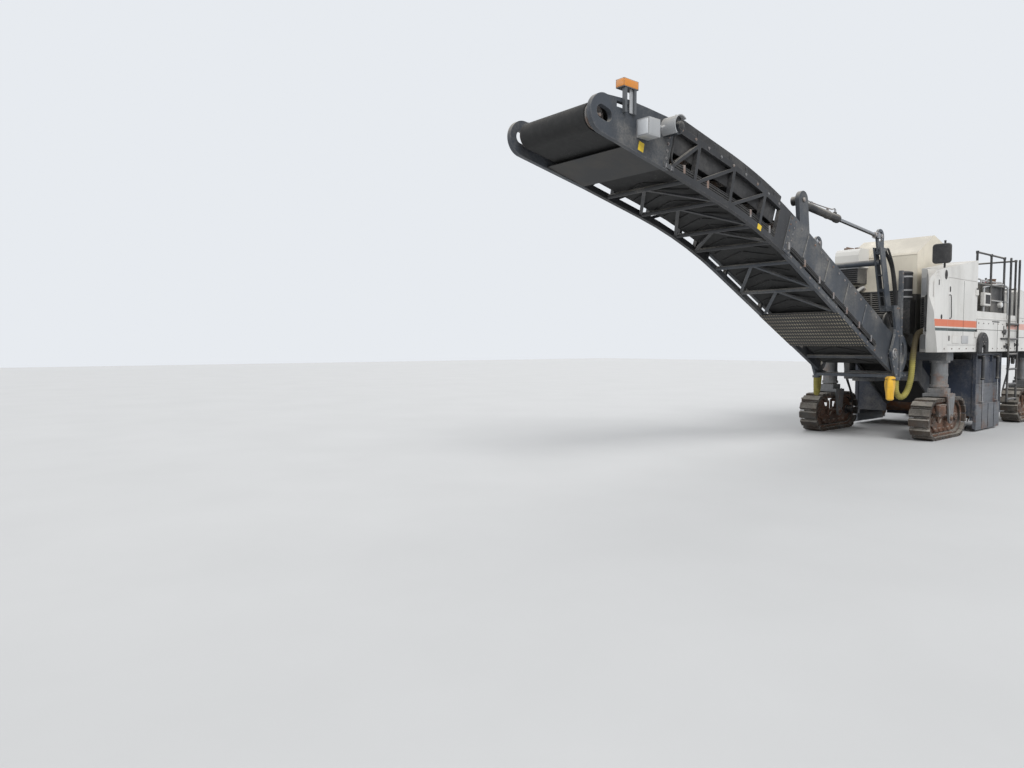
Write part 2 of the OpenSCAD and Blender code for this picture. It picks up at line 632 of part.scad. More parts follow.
// Milling drum: tube with tool holders along two helices
holder_rows = 72;
shell_r = drum_r - 140;
module milling_drum() color("#5a4a3d") row() translate([-drum_x, 0, drum_z]) {
    rotate([90, 0, 0]) difference() {
        cylinder(r = shell_r, h = drum_w, center = true);
        for (s = [-1, 1]) translate([0, 0, s * (drum_w / 2 - 200)]) cylinder(r = shell_r - 40, h = 401, center = true);
    }
    both() {
        translate([0, drum_w / 2 - 90, 0]) rotate([-90, 0, 0]) cylinder(r = shell_r - 20, h = 40);
        translate([0, drum_w / 2 - 90, 0]) rotate([-90, 0, 0])
            cylinder(r = stub_r, h = housing_y - drum_w / 2 + 90 - 2);
    }
    for (i = [0:holder_rows - 1]) {
        y = -drum_w / 2 + 30 + i * (drum_w - 60) / (holder_rows - 1);
        side = abs(y) / (drum_w / 2);
        rotate([0, side * 330 + (i % 2) * 180, 0]) translate([shell_r - 12, y, 0]) {
            translate([0, -22, -45]) cube([80, 44, 90]);
            translate([60, 0, 0]) rotate([0, 55, 0]) cylinder(r1 = 20, r2 = 6, h = 105, $fn = 8);
        }
    }
}

// Primary conveyor from the drum up to the turret
prim_x = -1300;
prim_z = 640;
prim_rise = 32;
prim_l = 2640;
prim_y = 470;
prim_r = 130;
prim_belt_y = 400;
module prim() translate([prim_x, 0, prim_z]) rotate([0, -prim_rise, 0]) children();
module primary_conveyor() color("#2c3138") row() prim() {
    both() slab_y([prim_y - 30, prim_y]) union() {
        translate([-60, -prim_r - 30]) square([prim_l + 60, 2 * prim_r + 60]);
        translate([prim_l, 0]) circle(r = prim_r + 30);
        translate([-60, 0]) circle(r = prim_r + 30);
    }
    for (u = [0, prim_l]) {
        pin_y(u, 0, prim_r - 12 - fit, [-prim_belt_y, prim_belt_y]);
        pin_y(u, 0, 40, [-prim_y + 1, prim_y - 1]);
    }
    for (u = [500, 1300, 2100]) pin_y(u, -20, 60, [-prim_y + 1, prim_y - 1]);
    // saddles on the frame
    both() for (q = [[1380, beam_y - beam_w / 2], [1650, beam_y - beam_w]]) pin_y(q[0], -60, 40, [prim_y - 1, q[1]]);
}
module primary_belt() color("#1d1d1e") row() prim() slab_y([-prim_belt_y - 15, prim_belt_y + 15]) difference() {
    union() {
        translate([0, -prim_r]) square([prim_l, 2 * prim_r]);
        for (u = [0, prim_l]) translate([u, 0]) circle(r = prim_r);
    }
    translate([0, -prim_r + 12]) square([prim_l, 2 * prim_r - 24]);
    for (u = [0, prim_l]) translate([u, 0]) circle(r = prim_r - 12);
}

// Turret: slewing base, side plates, lift pivots, leaning masts with the cylinder lugs
turret_y = conv_y + 20;
turret_t = 40;
turret_base_t = 50;
lift_pin_r = 45;
cyl_y = 535;
lug_t = 36;
lug_bore = 85;
eye_pin_r = 30;
mast_half = 62;
mast_t = 20;
shoulder_z = 2215;
post_x = 1000;
post_z = 2900;
arm_x = 1105;
arm_r = 365;
arm_band = 105;
module turret() color("#59616b") row() {
    difference() {
        union() {
            translate([slew_x, 0, turret_z]) cylinder(r = slew_ring_r + 20, h = turret_base_t);
            block([slew_x, 1180], [-turret_y - turret_t, turret_y + turret_t], [turret_z, turret_z + turret_base_t]);
            // ring that rests on the bracket
            translate([slew_x, 0, low_beam_z + slew_ring_h]) cylinder(r = slew_ring_r - 30, h = 31);
        }
        translate([slew_x, 0, low_beam_z]) cylinder(r = slew_pin_r + fit, h = 200);
    }
    both() {
        slab_y([turret_y, turret_y + turret_t]) turret_side();
        pin_y(lift_x, lift_z, lift_pin_r, [conv_y - frame_t, turret_y + turret_t + 20]);
        block([post_x, post_x + 70], [turret_y, turret_y + turret_t + 20], [turret_z, post_z]);
        // mast of two plates, above the reach of the primary conveyor, carried by a shoulder
        for (y = [cyl_y - mast_half, cyl_y + mast_half - mast_t]) slab_y([y, y + mast_t]) mast(shoulder_z);
        block([mast_back(shoulder_z) + 20, mast_back(shoulder_z) + 180], [cyl_y - mast_half, turret_y + 1],
            [shoulder_z, shoulder_z + 90]);
        for (z = [mast_z - 900, mast_z - 280]) block([mast_back(z) + 30, mast_back(z) + 150],
            [cyl_y - mast_half + 1, cyl_y + mast_half - 1], [z, z + 50]);
        // cylinder lug between the mast's plates
        slab_y([cyl_y - lug_t / 2, cyl_y + lug_t / 2]) difference() {
            union() {
                translate([mast_x, mast_z]) circle(r = 130);
                polygon([[mast_x - 125, mast_z - 30], [mast_x + 125, mast_z - 30],
                    [mast_x + 60, mast_z - 290], [mast_x - 140, mast_z - 290]]);
            }
            translate([mast_x, mast_z]) circle(r = lug_bore);
        }
    }
    pin_y(mast_x - 30, mast_z - 420, 50, [-cyl_y - 1, cyl_y + 1]);
    // hose glands under the side plates
    both() translate([hose_end[0], hose_end[1], turret_z - hose_gland_l]) cylinder(r = hose_r + 14, h = hose_gland_l + 1);
}
// Rear edge of the mast at height z
function mast_back(z) = 1010 + (mast_x - 1070) * (z - 1900) / (mast_z - 180 - 1900);
module mast(z) polygon([[mast_back(z), z], [mast_back(z) + 190, z], [mast_x + 110, mast_z - 180],
    [mast_x - 60, mast_z - 180]]);
// Outer plate: foot, curved arm at its rear, lift pivot and the mast's foot
module turret_side() {
    polygon([[760, turret_z], [1180, turret_z], [1340, lift_z - 110], [1345, lift_z + 80], [1220, lift_z + 330],
        [1205, 1905], [1020, 1905], [1060, lift_z + 300], [1080, lift_z + 280], [1090, lift_z - 270],
        [760, turret_z + 60]]);
    translate([lift_x, lift_z]) circle(r = 120);
    difference() {
        translate([arm_x, lift_z]) circle(r = arm_r);
        translate([arm_x, lift_z]) circle(r = arm_r - arm_band);
        translate([arm_x, lift_z - arm_r]) square([arm_r, 2 * arm_r]);
    }
    polygon([[mast_back(1900), 1900], [mast_back(1900) + 190, 1900],
        [mast_back(shoulder_z + 90) + 190, shoulder_z + 90], [mast_back(shoulder_z + 90), shoulder_z + 90]]);
}

// Lower part of the discharge conveyor: chords, side plates, tail plates and pylons
pylon_foot = [low_l - 264, 197];
pylon_pin = [low_l + 194, 924];
pylon_w = 250;
skirt_z = 160;
tail_bars = [500, low_l - 2300, low_l - 1520, low_l - 740, low_l + 40];
// V of two flat bars under the belt, from the chords at station a to the middle at station b
module brace(a, b) translate([at(a, 0)[0], 0, at(a, 0)[1]])
    rotate([0, -atan2(at(b, 0)[1] - at(a, 0)[1], at(b, 0)[0] - at(a, 0)[0]), 0])
    both() slab_z([20, 45]) strut([0, conv_y - 40], [b - a, 0], 45);
// Side plates lie between the chords' inner and outer faces
module conv_side(y0, y1) both() slab_y([y0, y1]) children();
module tail_section() color("#414a55") row() {
    conv_side(conv_y - frame_t, conv_y) difference() {
        union() {
            band(260, join_s, 0, chord);
            band(700, join_s, skirt_z, tail_h - 40);
            // plate round the tail pulley
            band(0, 720, 0, tail_h - 60);
            for (s = [1100:560:join_s - 100]) band(s, s + 50, chord - 1, skirt_z + 1);
            strut(at(pylon_foot[0], pylon_foot[1]), at(pylon_pin[0], pylon_pin[1]), pylon_w);
            translate(at(pylon_pin[0], pylon_pin[1])) circle(r = pylon_w / 2);
        }
        translate([lift_x, lift_z]) circle(r = lift_pin_r + fit);
        translate(at(pylon_pin[0], pylon_pin[1])) circle(r = eye_pin_r + fit);
    }
    // cross members under the belt
    for (s = tail_bars) cross_bar(s, 35, 30, [-conv_y + 20, conv_y - 20]);
    for (s = [low_l - 1700, low_l - 200]) cross_bar(s, tail_h - 70, 30, [-conv_y + 20, conv_y - 20]);
    for (i = [1:3]) brace(tail_bars[i], tail_bars[i + 1]);
}

// Truss from the bend to the head
verticals = [low_l + 1000, low_l + bend_l - 185, low_l + bend_l + 560];
boom_bars = [join_s + 300, low_l + 1100, low_l + bend_l, low_l + bend_l + 700];
module boom_section() color("#3d4550") row() {
    conv_side(conv_y - frame_t, conv_y) {
        band(join_s + fit, boom_end, 0, chord);
        band(join_s + fit, boom_end, truss_h - chord, truss_h);
        // webs end inside the chords
        band(join_s + fit, join_s + 340, chord / 2, truss_h - chord / 2);
        for (s = verticals) band(s, s + 50, chord / 2, truss_h - chord / 2);
        for (i = [0:2]) strut(at(verticals[i], truss_h - 45),
            at((i < 2 ? verticals[i + 1] : boom_end - 60) + 25, 40), 40);
    }
    for (s = boom_bars) cross_bar(s, 35, 30, [-conv_y + 20, conv_y - 20]);
    cross_bar(low_l + bend_l + 300, truss_h - 40, 26, [-conv_y + 20, conv_y - 20]);
    for (i = [0:2]) brace(boom_bars[i], boom_bars[i + 1]);
}

// Solid plates of the head, with the oval openings at the pulley
module head_section() color("#454d58") row() {
    conv_side(conv_y - frame_t, conv_y) difference() {
        union() {
            polygon([at(boom_end + fit, 0), at(head_s, head_h - head_plate_r), at(head_s, head_h + head_plate_r),
                at(head_s - 330, 480), at(head_s - 650, 530), at(boom_end + 120, truss_h), at(boom_end + fit, truss_h)]);
            translate(at(head_s, head_h)) circle(r = head_plate_r);
        }
        // oval opening of the belt's take-up, and a slot behind it
        for (u = [-45, 45]) translate(at(head_s + u, head_h)) circle(r = 72);
        translate(at(head_s, head_h)) rotate(rise_high) square([90, 144], center = true);
        translate(at(head_s - 250, head_h + 195)) rotate(rise_high - 12) square([190, 62], center = true);
    }
    cross_bar(head_s - 560, 235, 30, [-conv_y + 20, conv_y - 20]);
    // drive motors
    both() for (d = [[85, 150], [55, 185]]) cross_bar(motor_s, 440, d[0], [conv_y - 1, conv_y + d[1]]);
}

// Endless belt round the tail and head pulleys
// Parallel to the chords at first, then down to the lower head pulley; t is the outline's distance inside the belt
belt_drop = head_s - 1250;
module belt_outline(t) {
    low = [for (s = stations(pulley_s, belt_drop)) at(s, pulley_h - belt_r + t)];
    high = [for (s = stations(pulley_s, belt_drop)) at(s, pulley_h + belt_r - t)];
    n = len(high);
    c = at(head_s, head_h);
    polygon(concat(low, [touch(low[n - 1], c, head_r - t, 1), c, touch(high[n - 1], c, head_r - t, -1)],
        [for (i = [0:n - 1]) high[n - 1 - i]]));
    translate(at(pulley_s, pulley_h)) circle(r = belt_r - t);
    translate(c) circle(r = head_r - t);
}
module discharge_belt() color("#1a1a1c") row() slab_y([-belt_w / 2, belt_w / 2]) difference() {
    belt_outline(0);
    belt_outline(belt_t);
}

// Pulleys and idlers, on shafts that reach the side frames
idler_r = 50;
idler_h = pulley_h + belt_r - belt_t - idler_r - 3;
module roller(s, h, r) {
    cross_bar(s, h, r, [-belt_w / 2 - 20, belt_w / 2 + 20]);
    cross_bar(s, h, 18, [-conv_y + frame_t + fit, conv_y - frame_t - fit]);
}
module belt_rollers() color("#6f7175") row() {
    roller(pulley_s, pulley_h, belt_r - belt_t - fit);
    roller(head_s, head_h, head_r - belt_t - fit);
    for (s = concat([for (i = [0:5]) 800 + i * (low_l - 800) / 5], [join_s + 180], [for (v = verticals) v + 25]))
        roller(s, idler_h, idler_r);
    roller(boom_end + 100, idler_h - 17, idler_r);
}

// Guards under the return run
module belt_guards() color("#3a3a38") row() {
    slab_y([-conv_y, conv_y]) band(1000, 2150, -6 - fit, -fit);
    slab_y([-conv_y + frame_t + fit, conv_y - frame_t - fit]) band(boom_end + 60, head_s - 420, 2, 8);
}

// Lamp, beacon bracket and motor guards at the head
module head_lamps() color("#8b8d8f") row() {
    p = at(head_s - 370, 330);
    for (x = [p[0] - 70, p[0] + 80]) block([x, x + 35], [conv_y + fit, conv_y + 40], [p[1], p[1] + 261]);
    block([p[0] - 95, p[0] + 140], [conv_y - 70, conv_y + 45], [p[1] + 260, p[1] + 350]);
    q = at(head_s - 610, 256);
    block([q[0] - 95, q[0] + 95], [conv_y + fit, conv_y + 170], [q[1] - 95, q[1] + 95]);
    both() translate([0, fit, 0]) slab_y([conv_y, conv_y + 195]) translate(at(motor_s, 440)) difference() {
        circle(r = 125);
        circle(r = 113);
        rotate(rise_high - 60) translate([-200, -400]) square([400, 400]);
    }
}

// Lift cylinders: barrels on the pylons, rods to the masts
lift_vec = at(pylon_pin[0], pylon_pin[1]) - [mast_x, mast_z];
lift_len = norm(lift_vec);
lift_angle = atan2(lift_vec[1], lift_vec[0]);
barrel_l = 1270;
rod_inside = 620;
// Local frame of a cylinder: origin at the mast pin, +X to the pylon pin
module cylinder_line() both() translate([mast_x, cyl_y, mast_z]) rotate([0, -lift_angle, 0]) children();
module lift_barrels() color("#2e3338") row() cylinder_line() difference() {
    union() {
        tube_x([lift_len - barrel_l, lift_len - 90], 0, 0, barrel_d / 2);
        tube_x([lift_len - barrel_l, lift_len - barrel_l + 60], 0, 0, barrel_d / 2 + 8);
        pin_y(lift_len, 0, 65, [-40, conv_y - frame_t - cyl_y - 1]);
        block([lift_len - 100, lift_len], [-30, 30], [-45, 45]);
        pin_y(lift_len, 0, eye_pin_r, [-40, conv_y - cyl_y + 12]);
    }
    tube_x([lift_len - barrel_l - 1, lift_len - 170], 0, 0, rod_d / 2 + fit);
}
module lift_rods() color("#b9bbbd") row() cylinder_line() {
    tube_x([150, lift_len - barrel_l + rod_inside], 0, 0, rod_d / 2);
    pin_y(0, 0, eye_pin_r, [-lug_t / 2 - 27, lug_t / 2 + 27]);
    both() slab_y([lug_t / 2 + 7, lug_t / 2 + 22]) union() {
        circle(r = 50);
        translate([0, -40]) square([170, 80]);
    }
    block([140, 200], [-lug_t / 2 - 22, lug_t / 2 + 22], [-45, 45]);
}

// Air cleaner with its duct beside the hood's front, and the dark grille under the intake
air_duct_z = [deck_z - 300, deck_z + 290];
air_top = nose_z + 40;
air_x = hood_front + 130;
air_y = 465;
module air_stack() color("#16181a") row() {
    block([hood_front, hood_front + 240], [air_y - 155, air_y + 125], air_duct_z);
    tube_z(air_x, air_y, [air_duct_z[1] - 1, air_top], 112);
    block([hood_front, hood_front + 60], [air_y - 60, air_y + 60], [air_top - 330, air_top - 130]);
    block([hood_front, lobe_x - 60], [lobe_y[0] + 30, lobe_y[1] - 30], [lobe_z[0] - 290, lobe_z[0] - fit]);
}

// Mirrors on posts on the side compartments
mirror_x = 400;
mirror_post_r = 16;
mirror_z = nose_z + (nose_top - nose_z) * (nose_x - 180 - mirror_x + mirror_post_r) / (nose_x - 180 + nose_rear) + 0.1;
module mirrors() color("#1b1d20") row() both() {
    tube_z(mirror_x, body_y - 45, [mirror_z, nose_z + 530], mirror_post_r);
    block([mirror_x + 10, mirror_x + 45], [body_y - 210, body_y + 50], [nose_z + 160, nose_z + 460]);
}

main_frame();
column_sleeves();
slew_bracket();
drum_housing();
primary_conveyor();
primary_belt();
nose_left();
nose_right();
centre_hood();
engine();
rear_body();
platform();
handrails();
ladders();
consoles();
hose_left();
hose_right();
air_stack();
mirrors();
engine_hood();
door_left();
door_right();
turret();
tail_section();
boom_section();
head_section();
discharge_belt();
belt_rollers();
belt_guards();
head_lamps();
lift_barrels();
lift_rods();
milling_drum();
rear_gate();
edge_plate_left();
edge_plate_right();
leg_front_left();
leg_front_right();
leg_rear_left();
leg_rear_right();
crawler_front_left();
crawler_front_right();
crawler_rear_left();
crawler_rear_right();
track_front_left();
track_front_right();
track_rear_left();
track_rear_right();
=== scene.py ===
import math
import random

import bmesh
import bpy
from bpy.props import FloatVectorProperty, PointerProperty
from mathutils import Matrix, Vector


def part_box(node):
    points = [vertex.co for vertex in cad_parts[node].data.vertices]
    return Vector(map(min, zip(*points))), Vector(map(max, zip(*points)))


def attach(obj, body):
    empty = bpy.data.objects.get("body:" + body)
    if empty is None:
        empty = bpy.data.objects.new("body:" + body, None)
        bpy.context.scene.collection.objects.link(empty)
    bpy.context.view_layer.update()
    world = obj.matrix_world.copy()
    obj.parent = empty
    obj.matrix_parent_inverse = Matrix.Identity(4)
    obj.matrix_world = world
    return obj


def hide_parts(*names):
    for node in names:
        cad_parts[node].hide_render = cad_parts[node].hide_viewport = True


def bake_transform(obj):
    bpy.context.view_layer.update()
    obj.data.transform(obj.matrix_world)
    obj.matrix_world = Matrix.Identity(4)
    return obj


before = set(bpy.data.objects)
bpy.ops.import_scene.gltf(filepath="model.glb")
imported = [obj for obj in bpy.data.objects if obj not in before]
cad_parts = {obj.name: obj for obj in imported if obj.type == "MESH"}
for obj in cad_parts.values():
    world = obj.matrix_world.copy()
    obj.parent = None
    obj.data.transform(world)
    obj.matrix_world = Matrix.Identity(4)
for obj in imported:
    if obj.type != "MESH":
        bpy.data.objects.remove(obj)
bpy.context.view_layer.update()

bl_info = {
    "name": "Cold planer finish",
    "version": (1, 0, 0),
    "blender": (4, 5, 0),
    "location": "View3D > Sidebar > Cold planer",
    "description": "Finishes, fittings and stage for a front-loading cold planer on crawler tracks",
    "category": "Object",
}

# The front axle's place in the row frame, from the middle of the front left crawler
AXLE_X = sum(corner[0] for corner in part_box("track_front_left")) / 2
# The camera stands where the photograph was taken from: metres from the front axle, and its view
CAMERA_AT = (14.16, 5.92, 1.63)
CAMERA_VIEW = (-0.649, -0.759, -0.052)
CAMERA_LENS = 25.78
# The conveyor's line in metres from the front axle: the same named sizes as the part's source
LIFT = (1.250, 1.500)
RISE_LOW, RISE_HIGH = math.radians(25.6), math.radians(12.6)
LOW_LENGTH, BEND_LENGTH, HIGH_LENGTH = 3.6, 1.9, 2.23
PULLEY_S, PULLEY_H = 0.15, 0.26
HEAD_S = LOW_LENGTH + BEND_LENGTH + HIGH_LENGTH
BELT_RADIUS = 0.17
CONVEYOR_Y = 0.66
TAIL_HEIGHT, TRUSS_HEIGHT = 0.60, 0.58
JOIN_S = LOW_LENGTH + 0.3
BOOM_END = HEAD_S - 1.13
TAIL = (
    LIFT[0] - PULLEY_S * math.cos(RISE_LOW) + PULLEY_H * math.sin(RISE_LOW),
    LIFT[1] - PULLEY_S * math.sin(RISE_LOW) - PULLEY_H * math.cos(RISE_LOW),
)
# The body's side, the deck's top, the frame's top, and the pin at each mast's top with the lift cylinder's Y
BODY_Y, DECK_Z, FRAME_TOP = 1.2, 2.15, 1.52
MAST_PIN, CYLINDER_Y = (1.5, 3.44), 0.535
# The lifting columns' places
COLUMNS = {
    "front_left": (0.0, 0.985), "front_right": (0.0, -0.985),
    "rear_left": (-4.75, 0.985), "rear_right": (-4.75, -0.985),
}
# One crawler: its track's height and length, its number of shoes, and its wheels' height and half spread
TRACK_HEIGHT, TRACK_LENGTH, SHOE_COUNT = 0.72, 1.75, 25
WHEEL_Z, WHEEL_X = TRACK_HEIGHT / 2, (TRACK_LENGTH - TRACK_HEIGHT) / 2
# The outer face of a crawler's fork, measured from the crawler's middle
CHEEK_Y = 0.207
# The drum housing's side, the cylinders that lift the edge plates, and a place on the drum's axis
HOUSING_Y = 1.07
PLATE_CYLINDERS_X, PLATE_CYLINDERS_Y = (-2.52, -1.68), 1.153
DRUM_AXIS = Vector((-2.12, 0, 0.63))
# A wrapped hose's core, and the radius and pitch of the spiral round it
HOSE_RADIUS, WRAP_RADIUS, WRAP_PITCH = 0.0465, 0.0048, 0.034
SIDES = ((1, "left"), (-1, "right"))
OUT, UP = (0, 1, 0), (0, 0, 1)
# An angle in degrees that no edge reaches
ALL_SMOOTH = 180.0


def spot(x, y, z):
    """A place measured from the front axle and the ground, in the row frame."""
    return Vector((x + AXLE_X, y, z))


def rise(s):
    """The conveyor's slope at station s."""
    share = min(max((s - LOW_LENGTH) / BEND_LENGTH, 0.0), 1.0)
    return RISE_LOW - (RISE_LOW - RISE_HIGH) * share


def spine(s):
    """The underside of the lower chord at station s."""
    bend = BEND_LENGTH / (RISE_LOW - RISE_HIGH)
    low = min(s, LOW_LENGTH)
    x, z = TAIL[0] + low * math.cos(RISE_LOW), TAIL[1] + low * math.sin(RISE_LOW)
    if s > LOW_LENGTH:
        turned = rise(s)
        x += bend * (math.sin(RISE_LOW) - math.sin(turned))
        z += bend * (math.cos(turned) - math.cos(RISE_LOW))
    if s > LOW_LENGTH + BEND_LENGTH:
        rest = s - LOW_LENGTH - BEND_LENGTH
        x, z = x + rest * math.cos(RISE_HIGH), z + rest * math.sin(RISE_HIGH)
    return x, z


def along(s, h, y=0.0):
    """The point at station s of the conveyor, h square to its line, y to the left."""
    x, z = spine(s)
    return Vector((x - h * math.sin(rise(s)), y, z + h * math.cos(rise(s))))


# The line of the left lift cylinder from the mast's pin to the conveyor's, seen from the side
CYLINDER_LINE = along(LOW_LENGTH + 0.194, 0.924) - Vector((MAST_PIN[0], 0, MAST_PIN[1]))
CYLINDER_LENGTH = CYLINDER_LINE.length
CYLINDER_WAY = CYLINDER_LINE.normalized()
CYLINDER_UP = Vector((-CYLINDER_WAY.z, 0, CYLINDER_WAY.x))


def steps(first, last, count):
    """Evenly spaced values, both ends among them."""
    return [first + (last - first) * i / (count - 1) for i in range(count)]


def ring(centre, radius, count, flat=False, shift=0.0):
    """Places on a circle that stands along X or lies flat, turned by a share of the step between them."""
    angles = [math.tau * (k + shift) / count for k in range(count)]
    reach = [(radius * math.cos(angle), radius * math.sin(angle)) for angle in angles]
    return [Vector(centre) + Vector((a, b, 0) if flat else (a, 0, b)) for a, b in reach]


class Shape:
    """A mesh built up from parts, in metres from the front axle."""

    def __init__(self):
        self.mesh = bmesh.new()

    def paint_part(self, verts, slot):
        """Gives the faces at these vertices their material slot."""
        if slot:
            for face in {face for vert in verts for face in vert.link_faces}:
                face.material_index = slot
        return verts

    def round_off(self, edges, bevel, segments):
        """Rounds these edges and returns the vertices that this makes."""
        return bmesh.ops.bevel(self.mesh, geom=edges, offset=bevel, offset_type="OFFSET", segments=segments,
                               profile=0.5, affect="EDGES", material=-1, clamp_overlap=True)["verts"]

    def put(self, verts, angle, axis, place=(0, 0, 0)):
        """Turns these vertices about the origin and moves them to their place."""
        bmesh.ops.rotate(self.mesh, cent=(0, 0, 0), matrix=Matrix.Rotation(angle, 3, axis), verts=verts)
        bmesh.ops.translate(self.mesh, vec=place, verts=verts)

    def block(self, low, high, bevel=0.0, segments=2, slot=0, turn=None):
        """A box between two opposite corners, its edges rounded, turned (angle, axis, centre)."""
        low, high = Vector([*map(min, low, high)]), Vector([*map(max, low, high)])
        verts = bmesh.ops.create_cube(self.mesh, size=1.0)["verts"]
        bmesh.ops.scale(self.mesh, vec=high - low, verts=verts)
        bmesh.ops.translate(self.mesh, vec=(low + high) / 2, verts=verts)
        if bevel:
            edges = list({edge for vert in verts for edge in vert.link_edges})
            verts = self.round_off(edges, bevel, segments)
        if turn:
            angle, axis, centre = turn
            bmesh.ops.rotate(self.mesh, cent=centre, matrix=Matrix.Rotation(angle, 3, axis), verts=verts)
        return self.paint_part(verts, slot)

    def rod(self, a, b, radius, tip=None, sides=16, slot=0):
        """A round bar or cone from a to b."""
        a, b = Vector(a), Vector(b)
        turn = (b - a).to_track_quat("Z", "Y").to_matrix().to_4x4()
        verts = bmesh.ops.create_cone(
            self.mesh, cap_ends=True, cap_tris=False, segments=sides, radius1=radius,
            radius2=radius if tip is None else tip, depth=(b - a).length,
            matrix=Matrix.Translation((a + b) / 2) @ turn)["verts"]
        return self.paint_part(verts, slot)

    def bolts(self, places, normal, radius=0.014, slot=0):
        """Hexagon heads on washers at these places, standing out along normal."""
        normal = Vector(normal).normalized()
        for place in places:
            place = Vector(place)
            washer, head = place - normal * 0.002, place + normal * 0.001
            self.rod(washer, washer + normal * 0.005, radius * 1.45, sides=12, slot=slot)
            self.rod(head, head + normal * 0.010, radius, radius * 0.94, sides=6, slot=slot)

    def turned(self, centre, axis, profile, sides=32, slot=0):
        """A body of revolution round axis from (radius, distance along the axis) points."""
        axis = Vector(axis).normalized()
        side = axis.orthogonal().normalized()
        centre = Vector(centre)
        verts = [self.mesh.verts.new(centre + side * r + axis * d) for r, d in profile]
        edges = [self.mesh.edges.new(pair) for pair in zip(verts, verts[1:])]
        bmesh.ops.spin(self.mesh, geom=verts + edges, cent=centre, axis=axis, dvec=(0, 0, 0),
                       angle=math.tau, steps=sides, use_merge=True, use_duplicate=False)
        reach = {vert for vert in verts if vert.is_valid}
        waiting = list(reach)
        while waiting:
            vert = waiting.pop()
            beside = {edge.other_vert(vert) for edge in vert.link_edges} - reach
            reach |= beside
            waiting += beside
        bmesh.ops.remove_doubles(self.mesh, verts=list(reach), dist=1e-5)
        return self.paint_part([vert for vert in reach if vert.is_valid], slot)

    def outline(self, points, y, bevel=0.0, slot=0):
        """A plate with this outline in X and Z over the range y."""
        verts = [self.mesh.verts.new((x, y[0], z)) for x, z in points]
        face = self.mesh.faces.new(verts)
        made = bmesh.ops.extrude_face_region(self.mesh, geom=[face])["geom"]
        moved = [item for item in made if isinstance(item, bmesh.types.BMVert)]
        bmesh.ops.translate(self.mesh, vec=(0, y[1] - y[0], 0), verts=moved)
        verts += moved
        if bevel:
            edges = {edge for vert in verts for edge in vert.link_edges}
            level = [edge for edge in edges if abs(edge.verts[0].co.y - edge.verts[1].co.y) < 1e-6]
            self.round_off(level, bevel, 1)
        return self.paint_part([vert for vert in verts if vert.is_valid], slot)

    def strip(self, stations, low, high, y, slot=0):
        """A plate over the range y that follows the conveyor through these stations, between two heights."""
        points = [along(s, low) for s in stations] + [along(s, high) for s in reversed(stations)]
        self.outline([(point.x, point.z) for point in points], y, slot=slot)

    def block_at(self, place, low, high, *rest, **options):
        """A box whose two opposite corners are measured from a place."""
        return self.block(Vector(place) + Vector(low), Vector(place) + Vector(high), *rest, **options)

    def slats(self, low, high, heights, turn, bevel=0.003):
        """Turned level slats, their corners and the turn's centre measured from each height."""
        angle, axis, centre = turn
        for z in heights:
            place = Vector((0, 0, z))
            self.block_at(place, low, high, bevel, 1, turn=(angle, axis, Vector(centre) + place))

    def bars(self, x, y_values, y_range, z_values, z_range, half, bevel):
        """The upright and level bars of a frame that stands across the machine."""
        for y in y_values:
            self.block((x[0], y - half, z_range[0]), (x[1], y + half, z_range[1]), bevel)
        for z in z_values:
            self.block((x[0], y_range[0], z - half), (x[1], y_range[1], z + half), bevel)

    def pipe(self, points, radius, sides=10, slot=0):
        """A round pipe through these points, with a ring of vertices at each."""
        points = [Vector(point) for point in points]
        facing = (points[1] - points[0]).to_track_quat("Z", "Y")
        matrix = Matrix.Translation(points[0]) @ facing.to_matrix().to_4x4()
        end = bmesh.ops.create_circle(
            self.mesh, cap_ends=True, segments=sides, radius=radius, matrix=matrix)["verts"]
        everything = list(end)
        edges = list({edge for vert in end for edge in vert.link_edges})
        for i in range(1, len(points)):
            ahead = points[min(i + 1, len(points) - 1)] - points[i - 1]
            turn = (facing @ Vector(UP)).rotation_difference(ahead.normalized())
            made = bmesh.ops.extrude_edge_only(self.mesh, edges=edges)["geom"]
            end = [item for item in made if isinstance(item, bmesh.types.BMVert)]
            edges = [item for item in made if isinstance(item, bmesh.types.BMEdge)]
            bmesh.ops.rotate(self.mesh, cent=points[i - 1], matrix=turn.to_matrix(), verts=end)
            bmesh.ops.translate(self.mesh, vec=points[i] - points[i - 1], verts=end)
            facing = turn @ facing
            everything += end
        bmesh.ops.holes_fill(self.mesh, edges=edges, sides=sides)
        return self.paint_part(everything, slot)

    def mirror(self):
        """Adds the mirror image on the other side."""
        everything = self.mesh.verts[:] + self.mesh.edges[:] + self.mesh.faces[:]
        copy = bmesh.ops.duplicate(self.mesh, geom=everything)["geom"]
        verts = [item for item in copy if isinstance(item, bmesh.types.BMVert)]
        faces = [item for item in copy if isinstance(item, bmesh.types.BMFace)]
        bmesh.ops.scale(self.mesh, vec=(1, -1, 1), verts=verts)
        bmesh.ops.reverse_faces(self.mesh, faces=faces)
        return self

    def build(self, name, *finishes, smooth=ALL_SMOOTH):
        """The finished object in the row frame, smooth up to edges of this angle in degrees."""
        bmesh.ops.translate(self.mesh, vec=(AXLE_X, 0, 0), verts=self.mesh.verts)
        bmesh.ops.recalc_face_normals(self.mesh, faces=self.mesh.faces)
        made = add_mesh(name, self.mesh)
        for finish in finishes:
            made.data.materials.append(finish_of(finish))
        if smooth:
            made.data.shade_smooth()
        if 0 < smooth < ALL_SMOOTH:
            made.data.set_sharp_from_angle(angle=math.radians(smooth))
        return made

    def piece(self, name, body, *finishes, smooth=35.0):
        """The finished object, riding on its body."""
        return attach(self.build(name, *finishes, smooth=smooth), body)


def add_mesh(name, shape):
    """An object at the origin from a finished bmesh."""
    mesh = bpy.data.meshes.new(name)
    shape.to_mesh(mesh)
    shape.free()
    piece = bpy.data.objects.new(name, mesh)
    bpy.context.scene.collection.objects.link(piece)
    return piece


